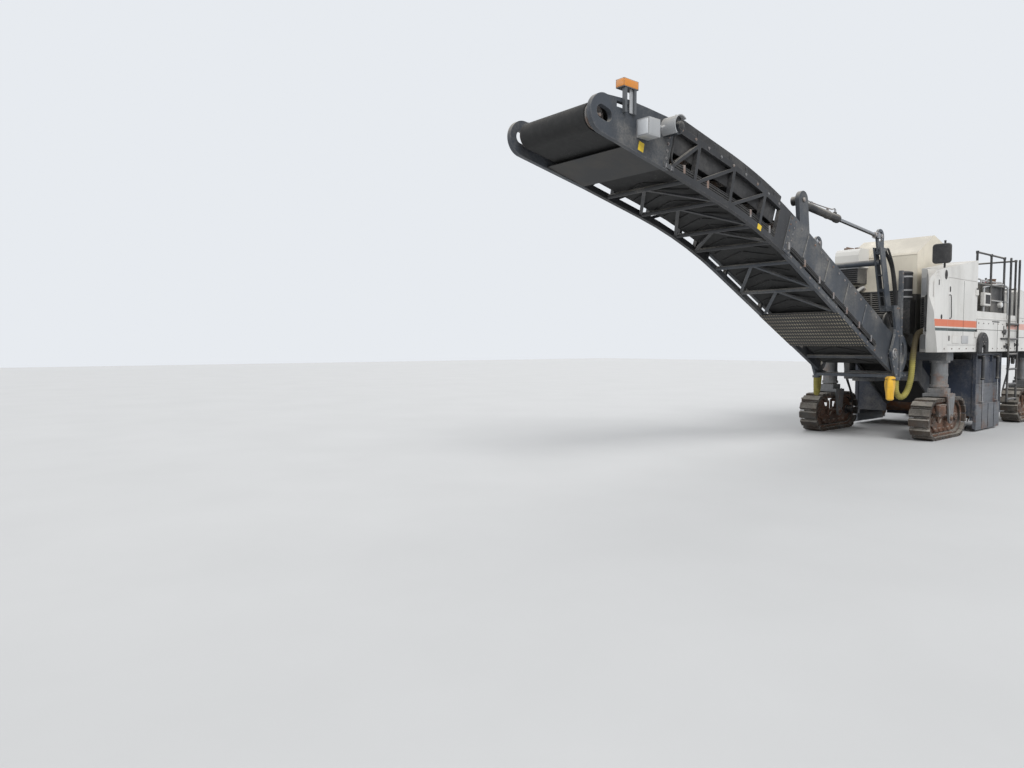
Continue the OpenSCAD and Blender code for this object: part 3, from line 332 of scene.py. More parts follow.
def smooth_path(points, count):
    """Points on a smooth curve through the given ones."""
    points = [Vector(point) for point in points]
    padded = [points[0] * 2 - points[1]] + points + [points[-1] * 2 - points[-2]]
    made = []
    for i in range(count):
        place = (len(points) - 1) * i / (count - 1)
        k = min(int(place), len(points) - 2)
        t = place - k
        a, b, c, d = padded[k:k + 4]
        square, cube = 2 * a - 5 * b + 4 * c - d, 3 * b - a - 3 * c + d
        made.append(0.5 * (2 * b + (c - a) * t + square * t ** 2 + cube * t ** 3))
    return made


def rounded(x0, z0, x1, z1, radius, count=6):
    """The outline of a rectangle with round corners."""
    left, right, low, high = x0 + radius, x1 - radius, z0 + radius, z1 - radius
    points = []
    for x, z, start in ((right, low, -90), (right, high, 0), (left, high, 90), (left, low, 180)):
        for angle in map(math.radians, steps(start, start + 90, count)):
            points.append((x + radius * math.cos(angle), z + radius * math.sin(angle)))
    return points


class Nodes:
    """Short calls that add shader nodes to a tree and join them."""

    def __init__(self, tree):
        self.tree = tree

    def add(self, kind, inputs=None, **settings):
        """A node with its settings, and its inputs by name or number: a value or another node's socket."""
        node = self.tree.nodes.new(kind)
        for name, value in settings.items():
            setattr(node, name, value)
        for name, value in (inputs or {}).items():
            if isinstance(value, bpy.types.NodeSocket):
                self.join(value, node.inputs[name])
            else:
                node.inputs[name].default_value = value
        return node

    def join(self, output, socket):
        """Links an output to a socket."""
        self.tree.links.new(output, socket)

    def math(self, operation, a, b=0.0, clamp=False):
        """One step of arithmetic."""
        return self.add("ShaderNodeMath", {0: a, 1: b}, operation=operation, use_clamp=clamp).outputs[0]

    def times(self, a, b, clamp=False):
        """Two values multiplied."""
        return self.math("MULTIPLY", a, b, clamp)

    def plus(self, a, b, clamp=False):
        """Two values added."""
        return self.math("ADD", a, b, clamp)

    def rest(self, value):
        """What this value leaves of 1."""
        return self.math("SUBTRACT", 1.0, value)

    def mix(self, factor, a, b):
        """Colour a at factor 0 and b at 1."""
        node = self.add("ShaderNodeMix", data_type="RGBA")
        for socket, value in ((node.inputs[0], factor), (node.inputs[6], a), (node.inputs[7], b)):
            if isinstance(value, bpy.types.NodeSocket):
                self.join(value, socket)
            else:
                socket.default_value = value if isinstance(value, (int, float)) else (*value[:3], 1.0)
        return node.outputs[2]

    def ramp(self, value, low, high):
        """0 below low, 1 above high, smooth between."""
        inputs = {"Value": value, "From Min": low, "From Max": high}
        return self.add("ShaderNodeMapRange", inputs, interpolation_type="SMOOTHSTEP").outputs[0]

    def between(self, mask, value, low, high):
        """The mask where the value lies from low to high, and 0 elsewhere."""
        mask = self.times(mask, self.math("GREATER_THAN", value, low))
        return self.times(mask, self.math("LESS_THAN", value, high))

    def parts(self, vector):
        """The x, y and z of a vector."""
        return self.add("ShaderNodeSeparateXYZ", {0: vector}).outputs

    def where(self):
        """Object coordinates."""
        return self.add("ShaderNodeTexCoord").outputs["Object"]

    def normal(self):
        """The surface's own direction."""
        return self.add("ShaderNodeNewGeometry").outputs["Normal"]

    def wave(self, scale, direction, distortion=0.0):
        """Fine parallel lines across this axis."""
        inputs = {"Vector": self.place(), "Scale": scale, "Distortion": distortion}
        return self.add("ShaderNodeTexWave", inputs, bands_direction=direction).outputs[1]

    def place(self, scale=(1, 1, 1)):
        """Object coordinates, stretched."""
        return self.add("ShaderNodeMapping", {"Vector": self.where(), "Scale": scale}).outputs[0]

    def noise(self, vector, scale, detail=3.0, roughness=0.55):
        """Cloudy noise from 0 to 1."""
        inputs = {"Vector": vector, "Scale": scale, "Detail": detail, "Roughness": roughness}
        return self.add("ShaderNodeTexNoise", inputs).outputs[0]


def shader_group(name, inputs):
    """An empty shader node group with named numbers going in and a mask coming out."""
    group = bpy.data.node_groups.new(name, "ShaderNodeTree")
    for label, value in inputs.items():
        socket = group.interface.new_socket(label, in_out="INPUT", socket_type="NodeSocketFloat")
        socket.default_value = value
    group.interface.new_socket("Mask", in_out="OUTPUT", socket_type="NodeSocketFloat")
    n = Nodes(group)
    return group, n, n.add("NodeGroupInput").outputs, n.add("NodeGroupOutput").inputs["Mask"]


def dust_group():
    """Dust that settles on faces that look up, and in patches elsewhere."""
    group, n, given, out = shader_group("settled_dust", {"Amount": 0.5, "Scale": 1.5})
    up = n.parts(n.normal())[2]
    patches = n.noise(n.place(), given["Scale"], 5.0, 0.65)
    fine = n.noise(n.place(), 38.0, 3.0, 0.7)
    blend = n.plus(n.times(patches, 0.75), n.times(fine, 0.25))
    lift = n.times(n.ramp(up, -0.2, 0.9), 0.32)
    level = n.plus(n.plus(blend, lift), n.times(given["Amount"], 0.5))
    n.join(n.ramp(level, 0.62, 1.12), out)
    return group


def edge_group():
    """Bare or chipped edges, found from the difference between the face and its rounded normal."""
    group, n, given, out = shader_group("edge_wear", {"Radius": 0.012, "Amount": 0.5})
    soft = n.add("ShaderNodeBevel", {"Radius": given["Radius"]}, samples=4).outputs[0]
    dot = n.add("ShaderNodeVectorMath", {0: n.normal(), 1: soft}, operation="DOT_PRODUCT").outputs["Value"]
    line = n.ramp(n.rest(dot), 0.005, 0.09)
    broken = n.ramp(n.noise(n.place(), 9.0, 6.0, 0.7), 0.42, 0.62)
    n.join(n.times(n.times(line, broken), given["Amount"], clamp=True), out)
    return group


def streak_group():
    """Dirt that has run down the sides."""
    group, n, given, out = shader_group("run_down_dirt", {"Amount": 0.5, "Width": 7.0})
    runs = n.noise(n.place((1.0, 1.0, 0.06)), given["Width"], 4.0, 0.7)
    broad = n.noise(n.place((1.0, 1.0, 0.5)), 1.3, 3.0, 0.6)
    level = n.plus(n.times(runs, 0.6), n.times(broad, 0.4))
    level = n.plus(level, n.times(given["Amount"], 0.22))
    n.join(n.ramp(level, 0.52, 0.82), out)
    return group


def speck_group():
    """Small chips, stuck grit and splashes."""
    group, n, given, out = shader_group("grit_specks", {"Amount": 0.5, "Scale": 22.0})
    cells = n.add("ShaderNodeTexVoronoi", {"Vector": n.place(), "Scale": given["Scale"]}).outputs["Distance"]
    where = n.noise(n.place(), 2.2, 3.0, 0.6)
    size = n.times(n.ramp(where, 0.42, 0.75), n.times(given["Amount"], 0.42))
    n.join(n.rest(n.ramp(n.math("SUBTRACT", cells, size), 0.0, 0.06)), out)
    return group


def shade(colour, share):
    """A lighter or darker colour, none of its values over 1."""
    return tuple(min(1.0, value * share) for value in colour)


GROUPS = {}


def group_node(n, make, **values):
    """Places the shared group that this function makes, with its own values."""
    if make not in GROUPS:
        GROUPS[make] = make()
    node = n.add("ShaderNodeGroup", node_tree=GROUPS[make])
    for label, value in values.items():
        node.inputs[label.capitalize()].default_value = value
    return node.outputs["Mask"]


def surface(name, rough=0.5, metallic=0.0, coat=0.0):
    """A material, its nodes and the inputs of its shader."""
    material = bpy.data.materials.new(name)
    material.use_nodes = True
    material.node_tree.nodes.clear()
    n = Nodes(material.node_tree)
    inputs = {"Roughness": rough, "Metallic": metallic, "Coat Weight": coat}
    shader = n.add("ShaderNodeBsdfPrincipled", inputs)
    n.add("ShaderNodeOutputMaterial", {"Surface": shader.outputs[0]})
    return material, n, shader.inputs


def bump(n, sockets, height, strength=0.25, distance=0.004):
    """A bump from a height on the shader's normal."""
    inputs = {"Strength": strength, "Distance": distance, "Height": height}
    n.join(n.add("ShaderNodeBump", inputs).outputs[0], sockets["Normal"])


DUST = (0.42, 0.39, 0.34)
DARK_DIRT = (0.06, 0.055, 0.05)
BARE_STEEL = (0.42, 0.41, 0.40)


def paint(name, colour, rough=0.45, dust=0.4, streaks=0.4, chips=0.35, specks=0.4, shift=0.12,
          under=(0.20, 0.13, 0.09)):
    """Machine paint: uneven tone, run-down dirt, settled dust, chipped edges and stuck grit."""
    material, n, sockets = surface(name)
    tone = n.ramp(n.noise(n.place(), 0.9, 4.0, 0.6), 0.3, 0.7)
    base = n.mix(tone, shade(colour, 1.0 - shift * 1.8), shade(colour, 1.0 + shift))
    runs = group_node(n, streak_group, amount=streaks)
    dirt = tuple(a * 0.45 + b * 0.25 for a, b in zip(colour, DARK_DIRT))
    base = n.mix(n.times(runs, 0.55 * streaks + 0.1), base, dirt)
    settled = group_node(n, dust_group, amount=dust, scale=1.5)
    base = n.mix(n.times(settled, 0.75), base, DUST)
    edge = group_node(n, edge_group, radius=0.012, amount=chips)
    base = n.mix(edge, base, under)
    grit = group_node(n, speck_group, amount=specks)
    n.join(n.mix(n.times(grit, 0.7), base, DARK_DIRT), sockets["Base Color"])
    level = n.plus(rough, n.times(settled, 0.35))
    n.join(n.plus(level, n.times(runs, 0.12), clamp=True), sockets["Roughness"])
    height = n.plus(n.times(settled, 0.5), n.noise(n.place(), 60.0, 2.0))
    bump(n, sockets, n.math("SUBTRACT", height, n.times(edge, 0.6)), 0.18, 0.002)
    return material


def over_paint(material):
    """The nodes of a finished paint, its colour socket and the colour that runs into it."""
    n = Nodes(material.node_tree)
    shader = next(node for node in n.tree.nodes if node.type == "BSDF_PRINCIPLED")
    socket = shader.inputs["Base Color"]
    return n, socket, socket.links[0].from_socket


def striped(name, body, stripe):
    """The body paint with its side stripe and the dark line under it, on the faces that look sideways."""
    material = paint(name, body, 0.42, 0.24, 0.45, 0.3, 0.25, 0.05)
    n, socket, base = over_paint(material)
    x, y, z = n.parts(n.where())
    sideways = n.math("GREATER_THAN", n.math("ABSOLUTE", n.parts(n.normal())[1]), 0.7)
    outside = n.math("GREATER_THAN", n.math("ABSOLUTE", y), BODY_Y - 0.05)
    wear = n.ramp(n.noise(n.place(), 13.0, 6.0, 0.7), 0.66, 0.74)
    on_side = n.times(n.times(sideways, outside), n.rest(wear))
    for low, high, rear, front, share, colour in (
        (1.96, 2.08, -1.10, 2.0, 0.94, stripe),
        (1.96, 2.08, -6.0, -2.85, 0.55, stripe),
        (1.885, 1.935, -1.10, 2.0, 0.95, (0.018, 0.045, 0.045)),
    ):
        inside = n.between(on_side, z, low, high)
        inside = n.between(inside, x, rear + AXLE_X, front + AXLE_X)
        base = n.mix(n.times(inside, share), base, colour)
    n.join(base, socket)
    return material


def part_painted(name, base, other, low=(-9, -9, -9), high=(9, 9, 9)):
    """The finish named base, in another colour where the object coordinates lie from low to high."""
    material = new_finish(base)
    material.name = name
    n, socket, below = over_paint(material)
    grain = n.times(n.math("SUBTRACT", n.noise(n.place(), 5.0, 5.0, 0.6), 0.5), 0.02)
    inside = 0.88
    for place, start, end in zip(n.parts(n.where()), low, high):
        inside = n.between(inside, n.plus(place, grain), start, end)
    n.join(n.mix(inside, below, other), socket)
    return material


def sleeve(name, colour, painted_shade_colour):
    """Woven hose sleeve, bright and dusty below, with painted shade that turns it dark brown towards its
    higher end.
    """
    material, n, sockets = surface(name, 0.72)
    dark_blotches = n.noise(n.place(), 9.0, 6.0, 0.65)
    height = n.plus(n.parts(n.where())[2], n.times(dark_blotches, 0.35))
    base = n.mix(n.ramp(dark_blotches, 0.3, 0.75), colour, shade(colour, 0.55))
    # Above about 1.5 m the sleeve turns dark brown: painted shade
    n.join(n.mix(n.ramp(n.math("DIVIDE", height, 3.0), 0.48, 0.60), base, painted_shade_colour), sockets["Base Color"])
    bump(n, sockets, n.noise(n.place(), 90.0, 3.0, 0.6), 0.25, 0.002)
    return material


def perforated(name, colour):
    """Dark sheet punched with staggered rows of slots; the slots are painted pale, as painted light showing
    through them.
    """
    material, n, sockets = surface(name, 0.62)
    x, y, _ = n.parts(n.where())
    lengthwise = n.math("DIVIDE", x, 0.105)
    row = n.plus(n.math("FLOOR", lengthwise), 1000.0)
    shift = n.times(n.math("MODULO", row, 2.0), 0.5)
    across = n.plus(n.plus(n.math("DIVIDE", y, 0.044), shift), 1000.0)
    du = n.math("SUBTRACT", n.math("FRACT", lengthwise), 0.5)
    dv = n.math("SUBTRACT", n.math("FRACT", across), 0.5)
    far = n.math("SQRT", n.plus(n.times(du, du), n.times(dv, dv)))
    hole = n.rest(n.ramp(far, 0.24, 0.30))
    hole = n.times(hole, n.math("LESS_THAN", x, spine(JOIN_S)[0] + AXLE_X))
    dirt = n.noise(n.place(), 2.5, 5.0, 0.65)
    base = n.mix(n.ramp(dirt, 0.35, 0.75), colour, (0.036, 0.033, 0.029))
    # Painted light: the pale colour in the slots stands in for the light that shows through them
    seen = n.mix(n.ramp(dirt, 0.3, 0.7), (0.34, 0.30, 0.22), (0.15, 0.13, 0.10))
    n.join(n.mix(hole, base, seen), sockets["Base Color"])
    bump(n, sockets, n.rest(hole), 0.5, 0.004)
    return material


def steel(name, colour, rough=0.4, metallic=0.85, rust=0.3, dust=0.35, grain=(1, 1, 1),
          rust_colour=(0.23, 0.11, 0.06)):
    """Bare or rusty steel with grain, rust patches and dust."""
    material, n, sockets = surface(name)
    patches = n.noise(n.place(), 3.2, 7.0, 0.68)
    rusty = n.ramp(n.plus(patches, rust * 0.4), 0.52, 0.78)
    lines = n.noise(n.place(grain), 26.0, 4.0, 0.7)
    clean = n.mix(n.ramp(lines, 0.3, 0.75), shade(colour, 0.72), colour)
    brown = n.mix(n.noise(n.place(), 18.0, 5.0), shade(rust_colour, 0.55), shade(rust_colour, 1.35))
    settled = group_node(n, dust_group, amount=dust, scale=2.4)
    base = n.mix(n.times(settled, 0.8), n.mix(rusty, clean, brown), DUST)
    shine = group_node(n, edge_group, radius=0.01, amount=0.8)
    n.join(n.mix(n.times(shine, 0.7), base, BARE_STEEL), sockets["Base Color"])
    dull = n.plus(n.times(rusty, 0.4), n.times(settled, 0.4))
    n.join(n.plus(rough, dull, clamp=True), sockets["Roughness"])
    n.join(n.times(metallic, n.rest(dull), clamp=True), sockets["Metallic"])
    height = n.plus(n.times(rusty, 0.6), n.times(lines, 0.5))
    bump(n, sockets, height, 0.35, 0.003)
    return material


def rubber(name, colour, dust, rough=0.75, dust_colour=(0.13, 0.125, 0.118)):
    """Black rubber or plastic with a dusty bloom and scuffs."""
    material, n, sockets = surface(name)
    scuff = n.noise(n.place(), 14.0, 6.0, 0.7)
    base = n.mix(n.ramp(scuff, 0.35, 0.8), colour, shade(colour, 2.2))
    settled = group_node(n, dust_group, amount=dust, scale=3.0)
    base = n.mix(n.times(settled, 0.7), base, dust_colour)
    grit = group_node(n, speck_group, amount=0.5, scale=34.0)
    n.join(n.mix(n.times(grit, 0.5), base, (0.09, 0.088, 0.085)), sockets["Base Color"])
    n.join(n.plus(rough, n.times(scuff, 0.15), clamp=True), sockets["Roughness"])
    bump(n, sockets, n.plus(scuff, grit), 0.3, 0.003)
    return material


def plain(name, colour, rough, metallic=0.0, coat=0.0, uneven=0.15):
    """A small part's finish: even colour with slight mottling."""
    material, n, sockets = surface(name, rough, metallic, coat)
    mottle = n.noise(n.place(), 6.0, 4.0)
    n.join(n.mix(mottle, shade(colour, 1 - uneven), shade(colour, 1 + uneven)), sockets["Base Color"])
    n.join(n.plus(n.times(mottle, 0.2), rough), sockets["Roughness"])
    bump(n, sockets, n.noise(n.place(), 90.0), 0.08, 0.001)
    return material


def cloth(name, colour):
    """Coarse coated cloth: fine weave, and dark blotches of painted shade in the folds and of dirt."""
    material, n, sockets = surface(name, 0.75)
    warp, weft = (n.times(n.wave(140.0, axis, 0.6), 0.5) for axis in "XZ")
    weave = n.plus(warp, weft)
    # The dark blotches are painted shade of the folds as well as dirt
    dark_blotches = n.ramp(n.noise(n.place(), 9.0, 5.0, 0.65), 0.42, 0.75)
    base = n.mix(weave, shade(colour, 0.8), colour)
    n.join(n.mix(n.times(dark_blotches, 0.45), base, (0.20, 0.15, 0.06)), sockets["Base Color"])
    sockets["Sheen Weight"].default_value = 0.2
    bump(n, sockets, weave, 0.3, 0.001)
    return material


def lens(name, colour):
    """Moulded plastic lens with fine ribs and dust."""
    material, n, sockets = surface(name, 0.16, coat=0.5)
    ribs = n.wave(28.0, "Z")
    settled = group_node(n, dust_group, amount=0.3, scale=6.0)
    base = n.mix(ribs, shade(colour, 0.72), colour)
    n.join(n.mix(n.times(settled, 0.5), base, DUST), sockets["Base Color"])
    bump(n, sockets, ribs, 0.25, 0.002)
    return material


MATERIALS = {}
# Each finish's maker with its settings, given the finish's name and the panel's properties
RECIPES = {
    "body_white": lambda name, p: striped(name, p.body_colour, p.stripe_colour),
    "panel_grey": lambda name, p: paint(name, (0.44, 0.445, 0.45), 0.45, 0.3, 0.4, 0.35, 0.3, 0.07),
    "guard_sheet": lambda name, p: perforated(name, (0.022, 0.023, 0.025)),
    "hood_cream": lambda name, p: paint(name, p.hood_colour, 0.45, 0.35, 0.3, 0.3, 0.2, 0.06),
    "conveyor_grey": lambda name, p: paint(name, p.conveyor_colour, 0.5, 0.32, 0.4, 0.45, 0.45, 0.16,
                                           (0.24, 0.235, 0.23)),
    "boom_dark": lambda name, p: paint(name, (0.022, 0.023, 0.026), 0.5, 0.16, 0.4, 0.5, 0.4, 0.18,
                                       (0.17, 0.16, 0.15)),
    "turret_grey": lambda name, p: paint(name, (0.058, 0.070, 0.088), 0.48, 0.30, 0.45, 0.5, 0.4, 0.15,
                                         (0.30, 0.30, 0.30)),
    "chassis_dark": lambda name, p: paint(name, (0.055, 0.062, 0.072), 0.55, 0.42, 0.5, 0.45, 0.6, 0.2),
    "navy": lambda name, p: paint(name, (0.026, 0.036, 0.060), 0.5, 0.38, 0.5, 0.5, 0.5, 0.2, BARE_STEEL),
    "black_paint": lambda name, p: paint(name, (0.022, 0.023, 0.026), 0.45, 0.38, 0.3, 0.5, 0.3, 0.2,
                                         (0.25, 0.24, 0.23)),
    "engine": lambda name, p: paint(name, (0.10, 0.105, 0.10), 0.5, 0.3, 0.3, 0.3, 0.5),
    "lamp_grey": lambda name, p: paint(name, (0.40, 0.41, 0.42), 0.4, 0.35, 0.3, 0.4, 0.2, 0.06),
    "hood_front": lambda name, p: part_painted(name, "hood_cream", (0.62, 0.61, 0.58),
                                               (0.10 + AXLE_X, -9, -9)),
    # Near black on the hood's lower front and sides, below 2.56 m and ahead of the deck: painted shade
    # standing in for the shade that lies there
    "hood_paint": lambda name, p: part_painted(name, "hood_front", (0.025, 0.027, 0.031),
                                               (AXLE_X - 0.9, -9, -9), (9, 9, 2.56)),
    "lamp_bracket": lambda name, p: part_painted(name, "lamp_grey", (0.05, 0.055, 0.062),
                                                 (spine(HEAD_S - 0.54)[0] + AXLE_X, -9, -9)),
    "column": lambda name, p: steel(name, (0.20, 0.205, 0.21), 0.42, 0.35, 0.02, 0.32, (1, 1, 0.2)),
    "worn_plate": lambda name, p: steel(name, (0.155, 0.165, 0.185), 0.42, 0.55, 0.0, 0.28, (0.15, 1, 1)),
    "rusty": lambda name, p: steel(name, (0.085, 0.07, 0.06), 0.55, 0.35, 0.55, 0.30,
                                   rust_colour=(0.14, 0.072, 0.045)),
    "shoe": lambda name, p: steel(name, (0.066, 0.061, 0.055), 0.5, 0.35, 0.40, 0.24,
                                  rust_colour=(0.075, 0.054, 0.040)),
    "drum_steel": lambda name, p: steel(name, (0.20, 0.17, 0.15), 0.5, 0.5, 0.55, 0.4),
    "chrome": lambda name, p: steel(name, (0.40, 0.41, 0.43), 0.16, 1.0, -0.3, 0.1),
    "roller_steel": lambda name, p: steel(name, (0.30, 0.29, 0.28), 0.4, 0.7, 0.35, 0.3),
    "zinc": lambda name, p: steel(name, (0.33, 0.33, 0.34), 0.38, 0.8, 0.25, 0.35),
    "belt": lambda name, p: rubber(name, (0.011, 0.011, 0.011), 0.25, dust_colour=(0.065, 0.060, 0.053)),
    "black_rubber": lambda name, p: rubber(name, (0.02, 0.02, 0.021), 0.4, 0.65),
    # The second colour of each hose is its painted shade towards the higher end
    "hose": lambda name, p: sleeve(name, (0.30, 0.26, 0.06), (0.10, 0.078, 0.04)),
    "hose_wrap": lambda name, p: sleeve(name, (0.37, 0.32, 0.075), (0.12, 0.095, 0.05)),
    "cloth_yellow": lambda name, p: cloth(name, (0.80, 0.45, 0.03)),
    "seam_dark": lambda name, p: plain(name, (0.018, 0.018, 0.020), 0.7, uneven=0.3),
    "sticker_yellow": lambda name, p: plain(name, (0.72, 0.50, 0.03), 0.4, uneven=0.12),
    "screen_glass": lambda name, p: plain(name, (0.012, 0.014, 0.017), 0.12, coat=0.8),
    "mirror_glass": lambda name, p: plain(name, (0.80, 0.82, 0.84), 0.04, 1.0, uneven=0.02),
    "amber_lens": lambda name, p: lens(name, (0.75, 0.26, 0.01)),
    "red_lens": lambda name, p: lens(name, (0.50, 0.012, 0.01)),
    "lamp_glass": lambda name, p: lens(name, (0.72, 0.74, 0.76)),
}


def new_finish(name):
    """A fresh material of the named finish."""
    return RECIPES[name](name, bpy.context.scene.planer_finish)


def finish_of(name):
    """The named finish, made once."""
    if name not in MATERIALS:
        MATERIALS[name] = new_finish(name)
    return MATERIALS[name]


def dress(node, name):
    """Gives a node of the frame its finish."""
    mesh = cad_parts[node].data
    mesh.materials.clear()
    mesh.materials.append(finish_of(name))


def changeable(label, description, default):
    """A colour of the panel."""
    return FloatVectorProperty(
        name=label, description=description, subtype="COLOR", size=3, min=0, max=1, default=default)


class PlanerFinish(bpy.types.PropertyGroup):
    """Colours that a user would change."""

    body_colour: changeable("Body colour", "Paint of the bodywork", (0.66, 0.65, 0.62))
    hood_colour: changeable("Hood colour", "Paint of the centre hood", (0.74, 0.68, 0.56))
    stripe_colour: changeable("Stripe colour", "Paint of the side stripe", (0.62, 0.13, 0.04))
    conveyor_colour: changeable("Conveyor colour", "Paint of the discharge conveyor", (0.042, 0.049, 0.060))


# The finishes, each with its nodes or with the first word of their names; the other nodes are black paint
FINISHES = {
    "body_white": "nose_left nose_right rear_body platform engine_hood door_left door_right",
    "chassis_dark": "main_frame slew_bracket primary_conveyor",
    "column": "column_sleeves leg", "rusty": "crawler", "shoe": "track",
    "navy": "drum_housing rear_gate", "worn_plate": "edge_plate_left edge_plate_right",
    "belt": "primary_belt discharge_belt", "hood_paint": "centre_hood", "engine": "engine",
    "hose": "hose_left hose_right", "black_rubber": "mirrors", "turret_grey": "turret",
    "conveyor_grey": "tail_section head_section", "boom_dark": "boom_section", "guard_sheet": "belt_guards",
    "lamp_bracket": "head_lamps", "roller_steel": "belt_rollers", "chrome": "lift_rods",
    "drum_steel": "milling_drum",
}


class PLANER_OT_frame_finishes(bpy.types.Operator):
    """Gives every piece of the frame its paint, steel or rubber"""

    bl_idname = "planer.frame_finishes"
    bl_label = "Frame finishes"

    def execute(self, context):
        chosen = {name: finish for finish, names in FINISHES.items() for name in names.split()}
        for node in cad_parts:
            dress(node, chosen.get(node) or chosen.get(node.split("_")[0], "black_paint"))
        return {"FINISHED"}


class PLANER_OT_stage(bpy.types.Operator):
    """Floor, backdrop light and the camera at the photograph's place"""

    bl_idname = "planer.stage"
    bl_label = "Stage"

    def execute(self, context):
        scene = context.scene
        scene.view_settings.view_transform = "Standard"
        self.floor()
        self.sky(scene)
        self.lights(scene)
        self.camera(scene)
        return {"FINISHED"}

    def floor(self):
        """A wide pale floor."""
        floor_mesh = bmesh.new()
        bmesh.ops.create_grid(floor_mesh, x_segments=1, y_segments=1, size=60.0)
        floor = add_mesh("floor", floor_mesh)
        material, n, sockets = surface("floor_pale", 0.8)
        tone = n.mix(n.noise(n.place(), 0.6, 4.0), (0.50, 0.50, 0.495), (0.56, 0.56, 0.555))
        n.join(tone, sockets["Base Color"])
        floor.data.materials.append(material)

    def lights(self, scene):
        """Three broad lights round the object."""
        for name, at, spread, power in (
            ("key", (7.0, 13.0, 15.0), 34.0, 2.3),
            ("fill", (16.0, -9.0, 12.0), 60.0, 0.55),
            ("back", (-12.0, -9.0, 14.0), 50.0, 0.9),
        ):
            lamp = bpy.data.lights.new(name, "SUN")
            lamp.angle = math.radians(spread)
            lamp.energy = power
            holder = bpy.data.objects.new(name, lamp)
            holder.location = at
            holder.rotation_euler = (Vector((0, 0, 1.5)) - Vector(at)).to_track_quat("-Z", "Y").to_euler()
            scene.collection.objects.link(holder)

    def camera(self, scene):
        """The camera at the photograph's place."""
        camera = bpy.data.objects.new("camera", bpy.data.cameras.new("camera"))
        camera.data.lens = CAMERA_LENS
        camera.data.sensor_width = 36.0
        camera.data.clip_end = 300.0
        camera.location = spot(*CAMERA_AT)
        camera.rotation_euler = Vector(CAMERA_VIEW).to_track_quat("-Z", "Y").to_euler()
        scene.collection.objects.link(camera)
        scene.camera = camera

    def sky(self, scene):
        """A pale world that shows brighter to the camera and in reflections than it lights the object."""
        world = bpy.data.worlds.new("studio")
        scene.world = world
        world.use_nodes = True
        world.node_tree.nodes.clear()
        n = Nodes(world.node_tree)
        path = n.add("ShaderNodeLightPath").outputs
        seen = n.math("MAXIMUM", path["Is Camera Ray"], path["Is Transmission Ray"])
        seen = n.math("MAXIMUM", seen, n.times(path["Is Glossy Ray"], 0.6))
        tone = n.mix(seen, (0.50, 0.52, 0.55), (0.80, 0.83, 0.87))
        background = n.add("ShaderNodeBackground", {"Color": tone, "Strength": 1.0})
        n.add("ShaderNodeOutputWorld", {"Surface": background.outputs[0]})


